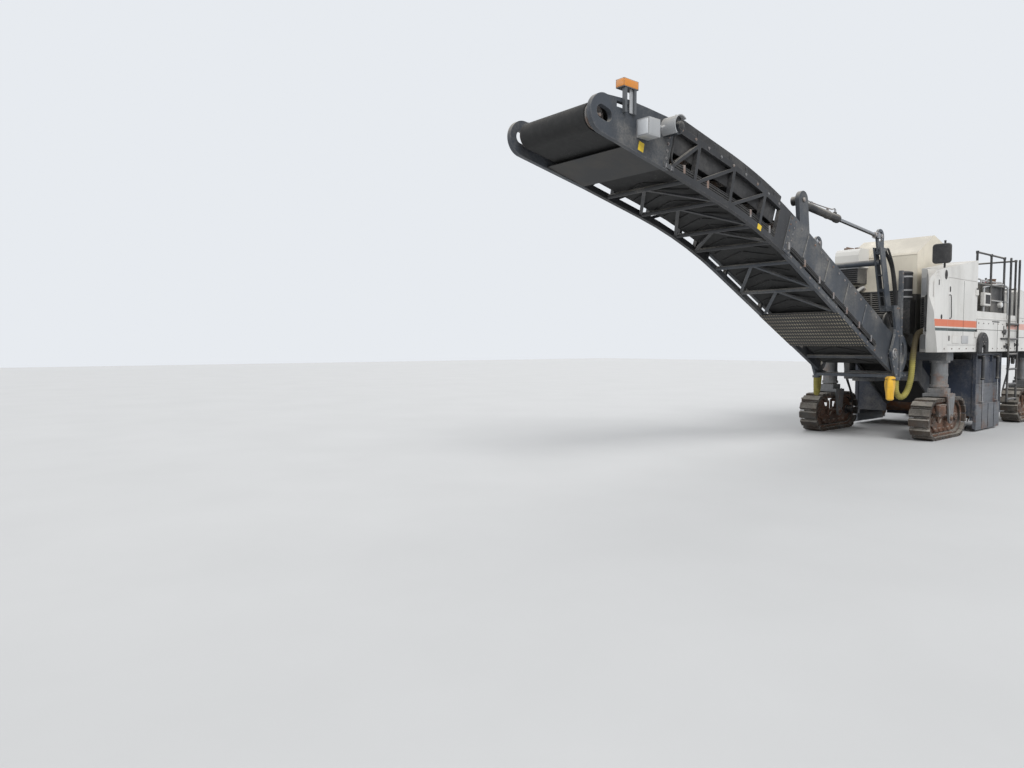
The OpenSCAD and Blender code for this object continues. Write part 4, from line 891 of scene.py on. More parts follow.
class PLANER_OT_conveyor_trim(bpy.types.Operator):
    """Rubber lips, belt cleats, bolts, lines and lamps of the discharge conveyor"""

    bl_idname = "planer.conveyor_trim"
    bl_label = "Conveyor trim"

    def execute(self, context):
        self.lips()
        self.cleats()
        self.bolts()
        self.ribs()
        self.lines()
        self.lamps()
        self.head()
        return {"FINISHED"}

    def lips(self):
        """Rubber strips that seal the belt's sides, each held by a flat bar."""
        shape = Shape()
        y = CONVEYOR_Y - 0.078
        tail, boom = steps(0.72, JOIN_S + 0.33, 22), steps(JOIN_S + 0.36, BOOM_END - 0.02, 22)
        runs = ((tail, TAIL_HEIGHT, 0.065, 0.05), (boom, TRUSS_HEIGHT, 0.075, 0.30))
        for stations, height, above, depth in runs:
            shape.strip(stations, height - depth, height + above, (y, y + 0.012))
            shape.strip(stations, height - 0.045, height - 0.015, (y - 0.008, y), slot=1)
        shape.strip(boom, TRUSS_HEIGHT - 0.004, TRUSS_HEIGHT + 0.10, (CONVEYOR_Y - 0.032, CONVEYOR_Y - 0.018))
        for s in steps(JOIN_S + 0.5, BOOM_END - 0.15, 7):
            foot = along(s, TRUSS_HEIGHT, CONVEYOR_Y - 0.014)
            shape.block_at(foot, (-0.02, -0.004, 0), (0.02, 0.004, 0.07), 0.003, 1, slot=1)
        shape.mirror().piece("conveyor_lips", "conveyor", "black_rubber", "boom_dark")

    def cleats(self):
        """Chevron cleats on the belt's carrying and returning runs."""
        shape = Shape()
        for way in (1, -1):
            height = PULLEY_H + way * BELT_RADIUS
            for s in steps(0.35, HEAD_S - 1.45, 29):
                for side in (-1, 1):
                    inner, outer = along(s, height, 0.02 * side), along(s - 0.19, height, 0.43 * side)
                    line = outer - inner
                    up = along(s, height + way) - along(s, height)
                    turn = Matrix((line, up.cross(line).normalized(), up)).transposed().to_4x4()
                    matrix = Matrix.Translation((inner + outer) / 2) @ turn
                    verts = shape.block((-0.5, -0.011, -0.004), (0.5, 0.011, 0.014))
                    bmesh.ops.transform(shape.mesh, matrix=matrix, verts=verts)
        shape.piece("belt_cleats", "conveyor", "belt", smooth=0)

    def bolts(self):
        """Bolt rows along the chords, the joints and the tail plates, and circles round the lift pivots."""
        shape = Shape()
        beside = (-0.05, 0.05)
        rows = [(s, 0.04) for s in steps(0.45, 3.75, 12)]
        rows += [(JOIN_S + side, h) for side in beside for h in steps(0.05, 0.53, 6)]
        rows += [(s, TRUSS_HEIGHT - 0.035) for s in steps(JOIN_S + 0.4, BOOM_END - 0.15, 9)]
        rows += [(s, TAIL_HEIGHT - 0.07) for s in steps(0.95, 3.65, 14)]
        rows += [(BOOM_END + side, h) for side in beside for h in (0.03, 0.055)]
        rows += [(BOOM_END + side, h) for side in beside for h in (0.52, 0.55)]
        rows += [(BOOM_END + 0.06, h) for h in steps(0.12, 0.46, 5)]
        shape.bolts([along(s, h, CONVEYOR_Y) for s, h in rows], OUT, 0.013)
        shape.bolts(ring((LIFT[0], CONVEYOR_Y + 0.001, LIFT[1]), 0.095, 8), OUT, 0.01)
        shape.mirror().piece("conveyor_bolts", "conveyor", "zinc")

    def ribs(self):
        """Stiffening ribs and joint plates of the side plates."""
        shape = Shape()
        y = CONVEYOR_Y - 0.001
        for s in steps(1.35, 3.45, 4):
            foot, top = along(s, 0.19, y), along(s, TAIL_HEIGHT - 0.05, y)
            verts = shape.block((-0.02, 0, 0), (0.02, 0.014, (top - foot).length), 0.004, 1)
            shape.put(verts, -rise(s), "Y", foot)
        for s, low, high in ((JOIN_S, 0.02, 0.56), (BOOM_END, 0.02, 0.07), (BOOM_END, 0.51, 0.56)):
            shape.strip((s - 0.09, s + 0.09), low, high, (y, y + 0.010))
        shape.mirror().piece("conveyor_ribs", "conveyor", "conveyor_grey")

    def lines(self):
        """Hydraulic lines and a cable along the left chord, with their clamps, and the hose to the motor."""
        shape = Shape()
        y = CONVEYOR_Y - 0.02

        def beside(s, h):
            """On the closed side plate, and inside it beyond the joint."""
            return along(s, h, y + 0.035 if s < JOIN_S else y)

        for h, radius in ((0.105, 0.011), (0.135, 0.011), (0.16, 0.007)):
            shape.pipe([beside(s, h) for s in steps(0.8, BOOM_END - 0.1, 30)], radius, 8)
        for side in (-1, 1):
            reach = ((-0.1, 0.105, 0.0), (0.02, 0.14, 0.06), (0.06, 0.26, 0.10), (0.1, 0.34, 0.13))
            path = [along(BOOM_END + s, h, side * (y + out)) for s, h, out in reach]
            shape.pipe(smooth_path(path, 16), 0.012, 8)
        for s in steps(1.0, BOOM_END - 0.3, 12):
            shape.block_at(beside(s, 0.13), (-0.018, -0.016, -0.05), (0.018, 0.018, 0.05), 0.004, 1, slot=1)
        shape.piece("conveyor_lines", "conveyor", "black_rubber", "zinc")

    def lamps(self):
        """Beacon and work lamp at the head."""
        shape = Shape()
        post = along(HEAD_S - 0.37, 0.33, CONVEYOR_Y)
        shape.block_at(post, (-0.098, -0.073, 0.262), (0.143, 0.048, 0.353), 0.014, 3)
        shape.block_at(post, (-0.090, 0.004, 0.01), (0.010, 0.016, 0.262), 0.003, 1, slot=1)
        shape.piece("beacon_cover", "conveyor", "amber_lens", "lamp_grey")
        shape = Shape()
        lamp = along(HEAD_S - 0.61, 0.256, CONVEYOR_Y)
        shape.block_at(lamp, (-0.098, 0.002, -0.098), (0.098, 0.173, 0.098), 0.022, 3)
        shape.block_at(lamp, (0.09, 0.02, -0.08), (0.103, 0.155, 0.08), 0.006, 2, slot=1)
        cable = ((-0.08, 0.10, 0.05), (-0.13, 0.11, 0.055), (-0.19, 0.11, 0.045), (-0.25, 0.10, 0.07))
        shape.pipe(smooth_path([lamp + Vector(place) for place in cable], 14), 0.014, 10)
        shape.piece("work_lamp", "conveyor", "lamp_grey", "lamp_glass")

    def head(self):
        """Motor ports and blank plates at the head."""
        shape = Shape()
        x, _, z = along(BOOM_END + 0.11, 0.44)
        for side in (-1, 1):
            port, away = (x, side * (CONVEYOR_Y + 0.151), z), (0, side, 0)
            shape.turned(port, away, [(0.0, 0.052), (0.03, 0.052), (0.05, 0.045), (0.052, 0.0)], 20)
            shape.bolts(ring(port, 0.068, 6), away, 0.007)
            shape.block_at(port, (-0.05, 0, 0.078), (0.05, -side * 0.1, 0.108), 0.006)
        shape.piece("drive_motor_ports", "conveyor", "black_paint")
        shape = Shape()
        for s, h, w, t in ((HEAD_S - 0.63, 0.075, 0.045, 0.05), (4.62, 0.042, 0.045, 0.036)):
            shape.strip((s - w, s + w), h - t, h + t, (CONVEYOR_Y - 0.0005, CONVEYOR_Y + 0.0025))
        shape.mirror().piece("blank_plates", "conveyor", "sticker_yellow", smooth=0)


class PLANER_OT_body_trim(bpy.types.Operator):
    """Seams, handles, hinges, vents and lights of the bodywork"""

    bl_idname = "planer.body_trim"
    bl_label = "Body trim"

    def execute(self, context):
        self.seams()
        self.doors()
        self.side_fittings()
        self.slanted_fronts()
        self.reel_covers()
        self.low_panels()
        self.vents()
        self.hood()
        self.rear()
        self.intake()
        self.screens()
        return {"FINISHED"}

    def seams(self):
        """Dark panel gaps along the sides, the rounded lip over the platform's edge, and bolts."""
        shape = Shape()
        tops = ((-1.1, 2.12), (-2.275, 2.11), (-3.45, 2.11))
        gaps = [(x - 0.005, x + 0.005, FRAME_TOP, top) for x, top in tops]
        gaps += [(-3.445, -1.1, 1.926, 1.934), (-5.86, -3.46, 1.796, 1.804)]
        gaps += [(x - 0.004, x + 0.004, FRAME_TOP, 2.19) for x in (-4.25, -5.05)]
        for x0, x1, z0, z1 in gaps:
            shape.block((x0, BODY_Y - 0.004, z0), (x1, BODY_Y + 0.0015, z1))
        shape.mirror().piece("panel_gaps", "machine", "seam_dark", smooth=0)
        shape = Shape()
        shape.block((-3.445, BODY_Y - 0.03, DECK_Z - 0.03), (-1.105, BODY_Y + 0.012, DECK_Z + 0.012), 0.01, 3)
        for x0, x1, height in ((-3.40, -2.84, 0.09), (-2.80, -1.12, 0.12)):
            shape.block((x0, BODY_Y - 0.022, DECK_Z), (x1, BODY_Y - 0.002, DECK_Z + height), 0.004, 1)
        shape.mirror().piece("deck_edges", "machine", "body_white")
        bolts = Shape()
        rows = [(x, z) for x in steps(-3.36, -1.2, 9) for z in (1.58, 2.05)]
        rows += [(x, z) for x in steps(-5.8, -3.55, 9) for z in (1.57, 2.14)]
        rows += [(x, 1.58) for x in steps(-0.95, 0.45, 5)]
        bolts.bolts([(x, BODY_Y + 0.001, z) for x, z in rows], OUT, 0.009)
        bolts.mirror().piece("body_bolts", "machine", "zinc")

    def doors(self):
        """Handles, latches and panel gaps of the side doors."""
        for side, name in SIDES:
            body, y = "door_" + name, side * BODY_Y
            shape = Shape()
            for z in (2.60, 1.76):
                shape.block((0.235, y, z - 0.045), (0.265, y + side * 0.012, z + 0.045), 0.006)
            grip = ((0.275, 0.0, 2.50), (0.275, 0.028, 2.48), (0.262, 0.030, 2.30), (0.245, 0.028, 2.12),
                    (0.245, 0.0, 2.10))
            shape.pipe(smooth_path([(x, y + side * out, z) for x, out, z in grip], 24), 0.008, 8)
            shape.piece("handles_" + body, body, "black_rubber")
            gaps = Shape()
            gaps.block((-1.04, y, 1.896), (0.31, y + side * 0.0015, 1.904))
            gaps.block((-0.424, y, 1.66), (-0.416, y + side * 0.0015, 2.78))
            gaps.piece("seams_" + body, body, "seam_dark", smooth=0)

    def low_panels(self):
        """A grey and a white blank plate low on each side door."""
        for side, name in SIDES:
            body, y = "door_" + name, side * BODY_Y
            panel = Shape()
            for x0, x1, slot in ((-0.67, -0.34, 0), (-0.26, 0.10, 1)):
                panel.block((x0, y, 1.67), (x1, y + side * 0.010, 1.81), 0.006, 2, slot=slot)
            panel.piece("low_panels_" + body, body, "panel_grey", "body_white")

    def side_fittings(self):
        """Oval latches, hinge leaves and handles of the covers beside the doors."""
        shape = Shape()
        dish = [(0, 0.004), (0.04, 0.004), (0.05, 0.011), (0.06, 0.010), (0.066, 0.0)]
        for x, z, size in ((0.449, 2.835, 1.0), (0.614, 2.12, 0.5)):
            verts = shape.turned((0, 0, 0), OUT, dish, 24)
            bmesh.ops.scale(shape.mesh, vec=(size * 0.8, 1, size * 1.25), verts=verts)
            bmesh.ops.translate(shape.mesh, vec=(x, BODY_Y, z), verts=verts)
            shape.block_at((x, BODY_Y, z), (-0.012, 0, -0.04 * size), (0.012, 0.013, 0.04 * size), 0.005)
        shape.block((0.735, BODY_Y - 0.002, 2.645), (0.765, BODY_Y + 0.006, 2.735), 0.008, 2)
        for z in (1.86, 2.62):
            shape.block((-1.085, BODY_Y, z - 0.06), (-1.045, BODY_Y + 0.02, z + 0.06), 0.004)
        shape.block((-2.80, BODY_Y, 1.755), (-2.45, BODY_Y + 0.03, 1.785), 0.008)
        shape.block((-2.64, BODY_Y, 1.80), (-2.62, BODY_Y + 0.012, 2.02), 0.004, 1)
        shape.block((-2.35, BODY_Y - 0.002, 2.085), (-1.95, BODY_Y + 0.012, 2.10), 0.004, 1)
        shape.mirror().piece("side_handles", "machine", "black_rubber")

    def slanted_fronts(self):
        """A framed dark grille between grey panels on each side compartment's inner front, and edging."""
        shape = Shape()
        for x0, y0, x1, y1, edge in ((0.15, 0.70, 0.25, 0.90, 0.02), (0.45, 0.90, 0.93, 1.09, 0.07)):
            turn, end = math.atan2(y1 - y0, x1 - x0), math.hypot(x1 - x0, y1 - y0) - edge
            leaves = [(0.015, end, 2.52, 2.83, 0.008, 0.006, 0), (0.015, end, 1.87, 2.49, 0.012, 0.006, 1),
                      (0.015, end, 1.58, 1.84, 0.008, 0.006, 0)]
            for z in steps(1.90, 2.46, 15):
                leaves.append((0.03, end - 0.015, z - 0.006, z + 0.006, 0.024, 0.002, 2))
            for u in steps(0.03, end - 0.02, 3):
                leaves.append((u - 0.007, u + 0.007, 1.88, 2.48, 0.028, 0.003, 2))
            for start, stop, low, high, out, bevel, slot in leaves:
                verts = shape.block((start, -out, low), (stop, 0.002, high), bevel, 2, slot=slot)
                shape.put(verts, turn, "Z", (x0, y0, 0))
        shape.mirror().piece("slanted_fronts", "machine", "panel_grey", "seam_dark", "black_paint")
        edge = Shape()
        corner = ((0.77, 2.86), (0.85, 2.845), (0.905, 2.805), (0.935, 2.74), (0.95, 2.67), (0.95, 2.45))
        cap = ((0.60, 2.62), (0.64, 2.72), (0.70, 2.78), (0.78, 2.80), (0.86, 2.79))
        edge.pipe([(x, BODY_Y - 0.004, z) for x, z in corner], 0.010, 8)
        edge.pipe(smooth_path([(x, BODY_Y - 0.004, z) for x, z in cap], 16), 0.007, 8)
        edge.mirror().piece("front_edging", "machine", "body_white")

    def reel_covers(self):
        """Rounded dark covers with their brackets, between the side compartment and the platform."""
        shape = Shape()
        x, z = -1.37, 1.75
        turns = [math.radians(value) for value in steps(0, 180, 19)]
        arch = [(x + 0.25 * math.cos(turn), 1.68 + 0.20 * math.sin(turn)) for turn in turns]
        turns = [math.radians(value) for value in steps(0, 180, 11)]
        notch = [(x - 0.09 * math.cos(turn), 1.575 + 0.07 * math.sin(turn)) for turn in turns]
        points = arch + [(x - 0.25, 1.50), (x - 0.09, 1.50)] + notch + [(x + 0.09, 1.50), (x + 0.25, 1.50)]
        shape.outline(points, (BODY_Y - 0.002, BODY_Y + 0.055), bevel=0.012)
        disc = [(0.0, 0.006), (0.05, 0.006), (0.058, 0.0), (0.058, -0.004)]
        shape.turned((x, BODY_Y + 0.054, z), OUT, disc, 28)
        shape.bolts(ring((x, BODY_Y + 0.055, z), 0.085, 6, shift=0.5), OUT, 0.007, slot=1)
        shape.block((x - 0.07, BODY_Y - 0.002, 1.50), (x + 0.06, BODY_Y + 0.02, 1.60), 0.008, 2, slot=2)
        shape.mirror().piece("reel_covers", "machine", "black_rubber", "zinc", "panel_grey")

    def vents(self):
        """Louvres on the rear body's sides."""
        shape = Shape()
        for x0, x1 in ((-4.95, -4.35), (-5.75, -5.15)):
            y = BODY_Y
            shape.block((x0 - 0.02, y - 0.001, 1.86), (x1 + 0.02, y + 0.006, 2.15), 0.003, 1, slot=1)
            low, high, turn = (x0, y + 0.002, -0.011), (x1, y + 0.02, 0.011), (0.5, "X", (0, y + 0.01, 0))
            shape.slats(low, high, steps(1.885, 2.125, 8), turn, 0.004)
        shape.mirror().piece("side_louvres", "machine", "body_white", "seam_dark")

    def hood(self):
        """Slats and seams of the engine hood, and the exhaust on it."""
        hood = Shape()
        front, high = -3.65, 2.78
        slope = math.atan2(high - 2.54, front + 5.74)

        def top(x):
            """The height of the sloping hood."""
            return high + (x - front) * math.tan(slope)

        def lengthwise(x0, x1, y0, y1, below, above, bevel=0.0):
            """A plate that lies on the slope."""
            z = top(x0)
            turn = (-slope, "Y", (x0, 0, z))
            hood.block((x0, y0, z - below), (x1, y1, z + above), bevel, 1, slot=1, turn=turn)

        for x in steps(-5.35, -4.65, 14):
            z = top(x)
            hood.block((x - 0.017, -0.75, z - 0.004), (x + 0.017, 0.75, z + 0.012), 0.004, 1, slot=1,
                       turn=(0.35, "Y", (x, 0, z)))
        lengthwise(-5.42, -4.58, -0.79, 0.79, 0.012, 0.004, 0.003)
        hood.block((-4.254, -1.199, top(-4.25) - 0.02), (-4.246, 1.199, top(-4.25) + 0.002), slot=1)
        for y in (-0.9, 0.9):
            lengthwise(-5.7, -3.66, y - 0.004, y + 0.004, 0.03, 0.0015)
        hood.piece("hood_vents", "hood_rear", "body_white", "seam_dark")
        stack = Shape()
        x, y, foot = -4.05, 0.55, top(-4.05) - 0.03
        pipe = [(0.0, 0.0), (0.10, 0.0), (0.10, 0.03), (0.075, 0.035), (0.075, 0.34), (0.082, 0.34),
                (0.082, 0.36), (0.066, 0.36), (0.066, 0.10), (0.0, 0.10)]
        stack.turned((x, y, foot), UP, pipe, 28)
        stack.block((x - 0.11, y - 0.11, foot), (x + 0.11, y + 0.11, foot + 0.032), 0.004, 1)
        stack.piece("exhaust", "hood_rear", "rusty")

    def rear(self):
        """Radiator grille and tail lamps."""
        shape = Shape()
        x = -5.9
        shape.block((x - 0.012, -0.78, 1.60), (x + 0.001, 0.78, 2.12), 0.004, 1, slot=1)
        low, high, turn = (x - 0.026, -0.76, -0.009), (x - 0.004, 0.76, 0.009), (-0.5, "Y", (x - 0.012, 0, 0))
        shape.slats(low, high, steps(1.625, 2.095, 18), turn)
        shape.bars((x - 0.028, x), (-0.79, 0.79), (-0.8, 0.8), (1.59, 2.13), (1.58, 2.14), 0.02, 0.006)
        shape.piece("radiator_grille", "machine", "black_paint", "seam_dark")
        lamps = Shape()
        for y in (-1.0, 1.0):
            lamps.block((x - 0.03, y - 0.13, 1.72), (x, y + 0.13, 1.84), 0.012, 3, slot=1)
            lamps.block((x - 0.036, y - 0.12, 1.73), (x - 0.026, y - 0.01, 1.83), 0.008, 2)
            lamps.block((x - 0.036, y + 0.01, 1.73), (x - 0.026, y + 0.12, 1.83), 0.008, 2, slot=2)
        lamps.piece("tail_lamps", "machine", "red_lens", "black_rubber", "amber_lens")

    def intake(self):
        """Dark slats under the rounded intake, its bracket, and the trim of the hood's front edge."""
        shape = Shape()
        low, high, turn = (0.458, -0.65, -0.010), (0.475, -0.29, 0.010), (0.4, "Y", (0.465, 0, 0))
        shape.slats(low, high, steps(2.82, 3.05, 7), turn)
        shape.block((0.10, -0.665, 3.058), (0.472, -0.275, 3.078), 0.006, 2, slot=1)
        shape.piece("intake_slats", "machine", "seam_dark", "lamp_grey")
        bracket = Shape()
        bracket.block((0.02, -0.60, 3.425), (0.36, -0.52, 3.465), 0.006, 2)
        bracket.block((0.02, -0.40, 3.425), (0.36, -0.34, 3.455), 0.006, 2)
        for x in steps(0.06, 0.32, 5):
            bracket.rod((x, -0.56, 3.46), (x, -0.56, 3.485), 0.018, 0.014, 12)
        bracket.piece("hose_bracket", "machine", "rusty")
        edge = Shape()
        edge.block((0.088, -0.688, 3.262), (0.096, 0.598, 3.276), 0.003, 1)
        edge.piece("hood_front_trim", "machine", "hood_cream")

    def screens(self):
        """Dark louvred screen over the lower part of the hood's front, and hoses and a canister before it."""
        shape = Shape()
        x, low, high = 0.09, 1.97, 2.62
        shape.block((x - 0.002, -0.665, low), (x + 0.012, 0.295, high), 0.004, 1, slot=1)
        heights, turn = steps(low + 0.04, high - 0.04, 16), (0.5, "Y", (x + 0.012, 0, 0))
        shape.slats((x + 0.006, -0.645, -0.012), (x + 0.020, 0.275, 0.012), heights, turn)
        uprights, levels = (-0.655, -0.185, 0.285), (low, high)
        shape.bars((x, x + 0.030), uprights, (-0.673, 0.303), levels, levels, 0.018, 0.005)
        shape.piece("hood_screen", "machine", "black_paint", "seam_dark")
        hoses = Shape()
        for y, out, drop, radius, slot in (
            (-0.50, 0.30, 2.30, 0.024, 0), (-0.42, 0.24, 2.22, 0.024, 0), (-0.33, 0.33, 2.38, 0.032, 1),
        ):
            path = [(0.10, y, 2.70), (0.17, y, 2.72), (x + out, y - 0.01, 2.60),
                    (x + out + 0.02, y - 0.02, drop + 0.08), (x + out * 0.8, y - 0.03, drop - 0.12),
                    (0.20, y - 0.03, drop - 0.2), (0.115, y - 0.03, drop - 0.2)]
            hoses.pipe(smooth_path(path, 36), radius, 12, slot=slot)
            for _, across, z in (path[0], path[-1]):
                hoses.rod((0.088, across, z), (0.15, across, z), 0.036, sides=16, slot=2)
        hoses.piece("hood_hoses", "machine", "black_rubber", "panel_grey", "zinc")
        canister = Shape()
        band = [(0.1125, -0.014), (0.1165, -0.012), (0.1165, 0.012), (0.1125, 0.014)]
        lid = [(0.112, -0.03), (0.117, -0.02), (0.117, 0.004), (0.10, 0.02), (0.04, 0.034), (0.0, 0.036)]
        for z in (2.50, 2.62, 2.86):
            canister.turned((0.22, 0.465, z), UP, band, 40)
            canister.block((0.325, 0.445, z - 0.016), (0.350, 0.485, z + 0.016), 0.004, 2)
        canister.turned((0.22, 0.465, 2.93), UP, lid, 40, slot=1)
        canister.piece("canister_bands", "machine", "panel_grey", "black_rubber")


class PLANER_OT_running_gear_trim(bpy.types.Operator):
    """Shoe bolts, chain links, hub caps, drive motors and column fittings of the four crawlers"""

    bl_idname = "planer.running_gear_trim"
    bl_label = "Running gear trim"

    def execute(self, context):
        rows = []
        for corner, (x, y) in COLUMNS.items():
            rows.append((corner, x, y, 1 if x >= 0 else -1, 1 if y > 0 else -1))
        for corner, x, y, ahead, outer in rows:
            self.chain(corner, x, y)
            self.frame_parts(corner, x, y, ahead, outer)
            self.tension_box(corner, x, y, ahead, outer)
            self.fork(corner, x, y)
        self.collars()
        for row in rows:
            self.hoses(*row)
        return {"FINISHED"}

    def chain(self, corner, x, y):
        """Two bolts at each side of every shoe, and the link plates and pins at the chain's sides."""
        shape = Shape()
        thick, radius = 0.058, WHEEL_Z - 0.052
        straight, arc = 2 * WHEEL_X, math.pi * radius
        loop = 2 * straight + 2 * arc
        pitch = loop / SHOE_COUNT

        def place(number):
            """The chain's place, its slope and its way up at this many shoes along it."""
            d = (number * pitch + 1.5 * straight + arc) % loop
            lower = d >= straight + arc
            d -= (straight + arc) * lower
            way, turn = (-1 if lower else 1), max(d - straight, 0.0) / radius
            reach = min(d, straight) - straight / 2 + radius * math.sin(turn)
            angle = math.pi * lower - turn
            point = Vector((x + way * reach, y, WHEEL_Z + way * radius * math.cos(turn)))
            return point, angle, Vector((-math.sin(angle), 0, math.cos(angle)))

        for i in range(SHOE_COUNT):
            centre, angle, up = place(i)
            ahead = Vector((math.cos(angle), 0, math.sin(angle)))
            for side in (-1, 1):
                for across in (-0.12, -0.05, 0.05, 0.12):
                    bolt = centre + ahead * (side * pitch * 0.43) + up * 0.0135 + Vector((0, across, 0))
                    shape.rod(bolt, bolt + up * 0.009, 0.008, 0.0075, sides=6)
            joint, _, away = place(i + 0.5)
            for side in (-1, 1):
                edge = Vector((0, side * 0.095, 0))
                pin = joint + edge - away * (thick / 2)
                shape.rod(pin, pin + Vector((0, side * 0.011, 0)), 0.014, 0.012, sides=10, slot=1)
                high = (pitch * 0.44, side * 0.007, thick * 0.72)
                verts = shape.block((-pitch * 0.44, 0, -0.001), high, 0.012, 1, slot=1)
                shape.put(verts, -angle, "Y", centre + edge - up * (thick * 0.88))
        shape.piece("chain_" + corner, "crawler_" + corner, "shoe", "rusty", smooth=30)

    def frame_parts(self, corner, x, y, ahead, outer):
        """Hub caps, the hydraulic drive motor, roller caps and the pivot's nut."""
        shape = Shape()
        hub_cap = [(0.0, 0.020), (0.030, 0.020), (0.045, 0.012), (0.066, 0.012), (0.068, -0.002)]
        roller_cap = [(0.0, 0.022), (0.022, 0.022), (0.034, 0.014), (0.036, -0.002)]
        nut = [(0.0, 0.014), (0.026, 0.014), (0.030, 0.010), (0.043, 0.004), (0.044, -0.003)]
        motor = [(0.0, 0.11), (0.045, 0.11), (0.055, 0.10), (0.06, 0.02), (0.085, 0.015), (0.09, -0.002)]
        for side in (-1, 1):
            way = Vector((0, side, 0))
            for end in (-1, 1):
                hub = Vector((x + end * WHEEL_X, y + side * 0.104, WHEEL_Z))
                shape.turned(hub, way, hub_cap, 24)
                shape.bolts(ring(hub + way * 0.012, 0.055, 6), way, 0.006)
            for k in range(-2, 3):
                roller = Vector((x + k * 0.19, y + side * 0.088, 0.172))
                shape.turned(roller, way, roller_cap, 16)
                shape.bolts([roller + Vector((dx, 0, 0.03)) for dx in (-0.05, 0.05)], way, 0.006)
            shape.turned((x, y + side * (CHEEK_Y + 0.012), WHEEL_Z), way, nut, 20)
            shape.bolts(ring((x, y + side * CHEEK_Y, WHEEL_Z), 0.069, 8), way, 0.008)
        hub = Vector((x - ahead * WHEEL_X, y - outer * 0.104, WHEEL_Z))
        shape.turned(hub, (0, -outer, 0), motor, 28, slot=1)
        low, high = Vector((-0.02, -outer * 0.05, 0.05)), Vector((0.02, -outer * 0.1, 0.085))
        shape.block(hub + low, hub + high, 0.005, 2, slot=1)
        shape.piece("crawler_fittings_" + corner, "crawler_" + corner, "rusty", "black_paint")

    def tension_box(self, corner, x, y, ahead, outer):
        """The rusty box over the chain's tensioner, on the crawler's outer side."""
        shape = Shape()
        centre = Vector((x + ahead * 0.50, y + outer * 0.215, 0.53))
        for size, bevel in (((0.30, 0.060, 0.20), 0.010), ((0.24, 0.072, 0.14), 0.006)):
            half = Vector(size) / 2
            shape.block(centre - half, centre + half, bevel, 2)
        corners = [Vector((dx, outer * 0.030, dz)) for dx in (-0.135, 0.135) for dz in (-0.085, 0.085)]
        shape.bolts([centre + place for place in corners], (0, outer, 0), 0.008, slot=1)
        shape.block_at((centre.x, y, 0), (-0.05, outer * 0.09, 0.40), (0.05, outer * 0.19, 0.46), 0.006, 2)
        shape.piece("tension_box_" + corner, "crawler_" + corner, "rusty", "zinc")

    def fork(self, corner, x, y):
        """Bolts, cheek plates and collar at the column's foot."""
        shape = Shape()
        cheek = [(x - 0.10, 0.735), (x + 0.10, 0.735), (x + 0.03, 0.5), (x - 0.03, 0.5)]
        collar = [(0.10, -0.004), (0.135, -0.004), (0.135, 0.006), (0.128, 0.012), (0.1035, 0.012)]
        for side in (-1, 1):
            shape.bolts([(x + dx, y + side * 0.165, 0.79) for dx in (-0.14, 0.14)], UP, 0.012)
            faces = [(x + side * 0.151, y + dy, z) for dy in (-0.10, 0.10) for z in (0.82, 0.86)]
            shape.bolts(faces, (side, 0, 0), 0.009)
            outside = y + side * CHEEK_Y
            shape.outline(cheek, (outside - 0.004, outside + 0.004), 0.003)
        shape.turned((x, y, 0.879), UP, collar, 40)
        shape.piece("column_foot_" + corner, "crawler_" + corner, "column")

    def collars(self):
        """Bolted collars and wipers on the fixed sleeves."""
        shape = Shape()
        wiper = [(0.104, 0.0), (0.104, -0.012), (0.118, -0.012), (0.124, 0.0)]
        band = [(0.1305, -0.02), (0.137, -0.02), (0.137, 0.02), (0.1305, 0.02)]
        for x, y in COLUMNS.values():
            shape.bolts(ring((x, y, 0.94), 0.139, 12, flat=True, shift=0.5), UP, 0.007)
            shape.turned((x, y, 0.90), UP, wiper, 40, slot=1)
            shape.bolts(ring((x, y, 1.341), 0.146, 12, flat=True), (0, 0, -1), 0.006)
            shape.turned((x, y, 1.12), UP, band, 40)
        shape.piece("sleeve_collars", "machine", "column", "black_rubber")

    def hoses(self, corner, x, y, ahead, outer):
        """A pair of hydraulic hoses from the frame down to the drive motor."""
        shape = Shape()
        motor = Vector((x - ahead * WHEEL_X, y - outer * 0.18, 0.43))
        for k in (-1, 1):
            start = Vector((x - ahead * 0.20 + k * 0.03, y - outer * 0.20, 1.375))
            end = motor + Vector((k * 0.012, 0, 0))
            path = [start, start + Vector((0, 0, -0.12)),
                    start + Vector((-ahead * 0.03, -outer * 0.02, -0.36)),
                    Vector((x - ahead * 0.33 + k * 0.02, y - outer * 0.24, 0.80)),
                    motor + Vector((k * 0.02 + ahead * 0.04, -outer * 0.05, 0.17)),
                    end + Vector((0, 0, 0.06)), end]
            shape.pipe(smooth_path(path, 34), 0.012, 8)
            shape.rod(end + Vector((0, 0, 0.02)), end + Vector((0, 0, 0.075)), 0.016, sides=8, slot=1)
            shape.rod(start, start + Vector((0, 0, -0.05)), 0.016, sides=8, slot=1)
        made = shape.build("drive_hoses_" + corner, "black_rubber", "zinc")
        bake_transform(made)


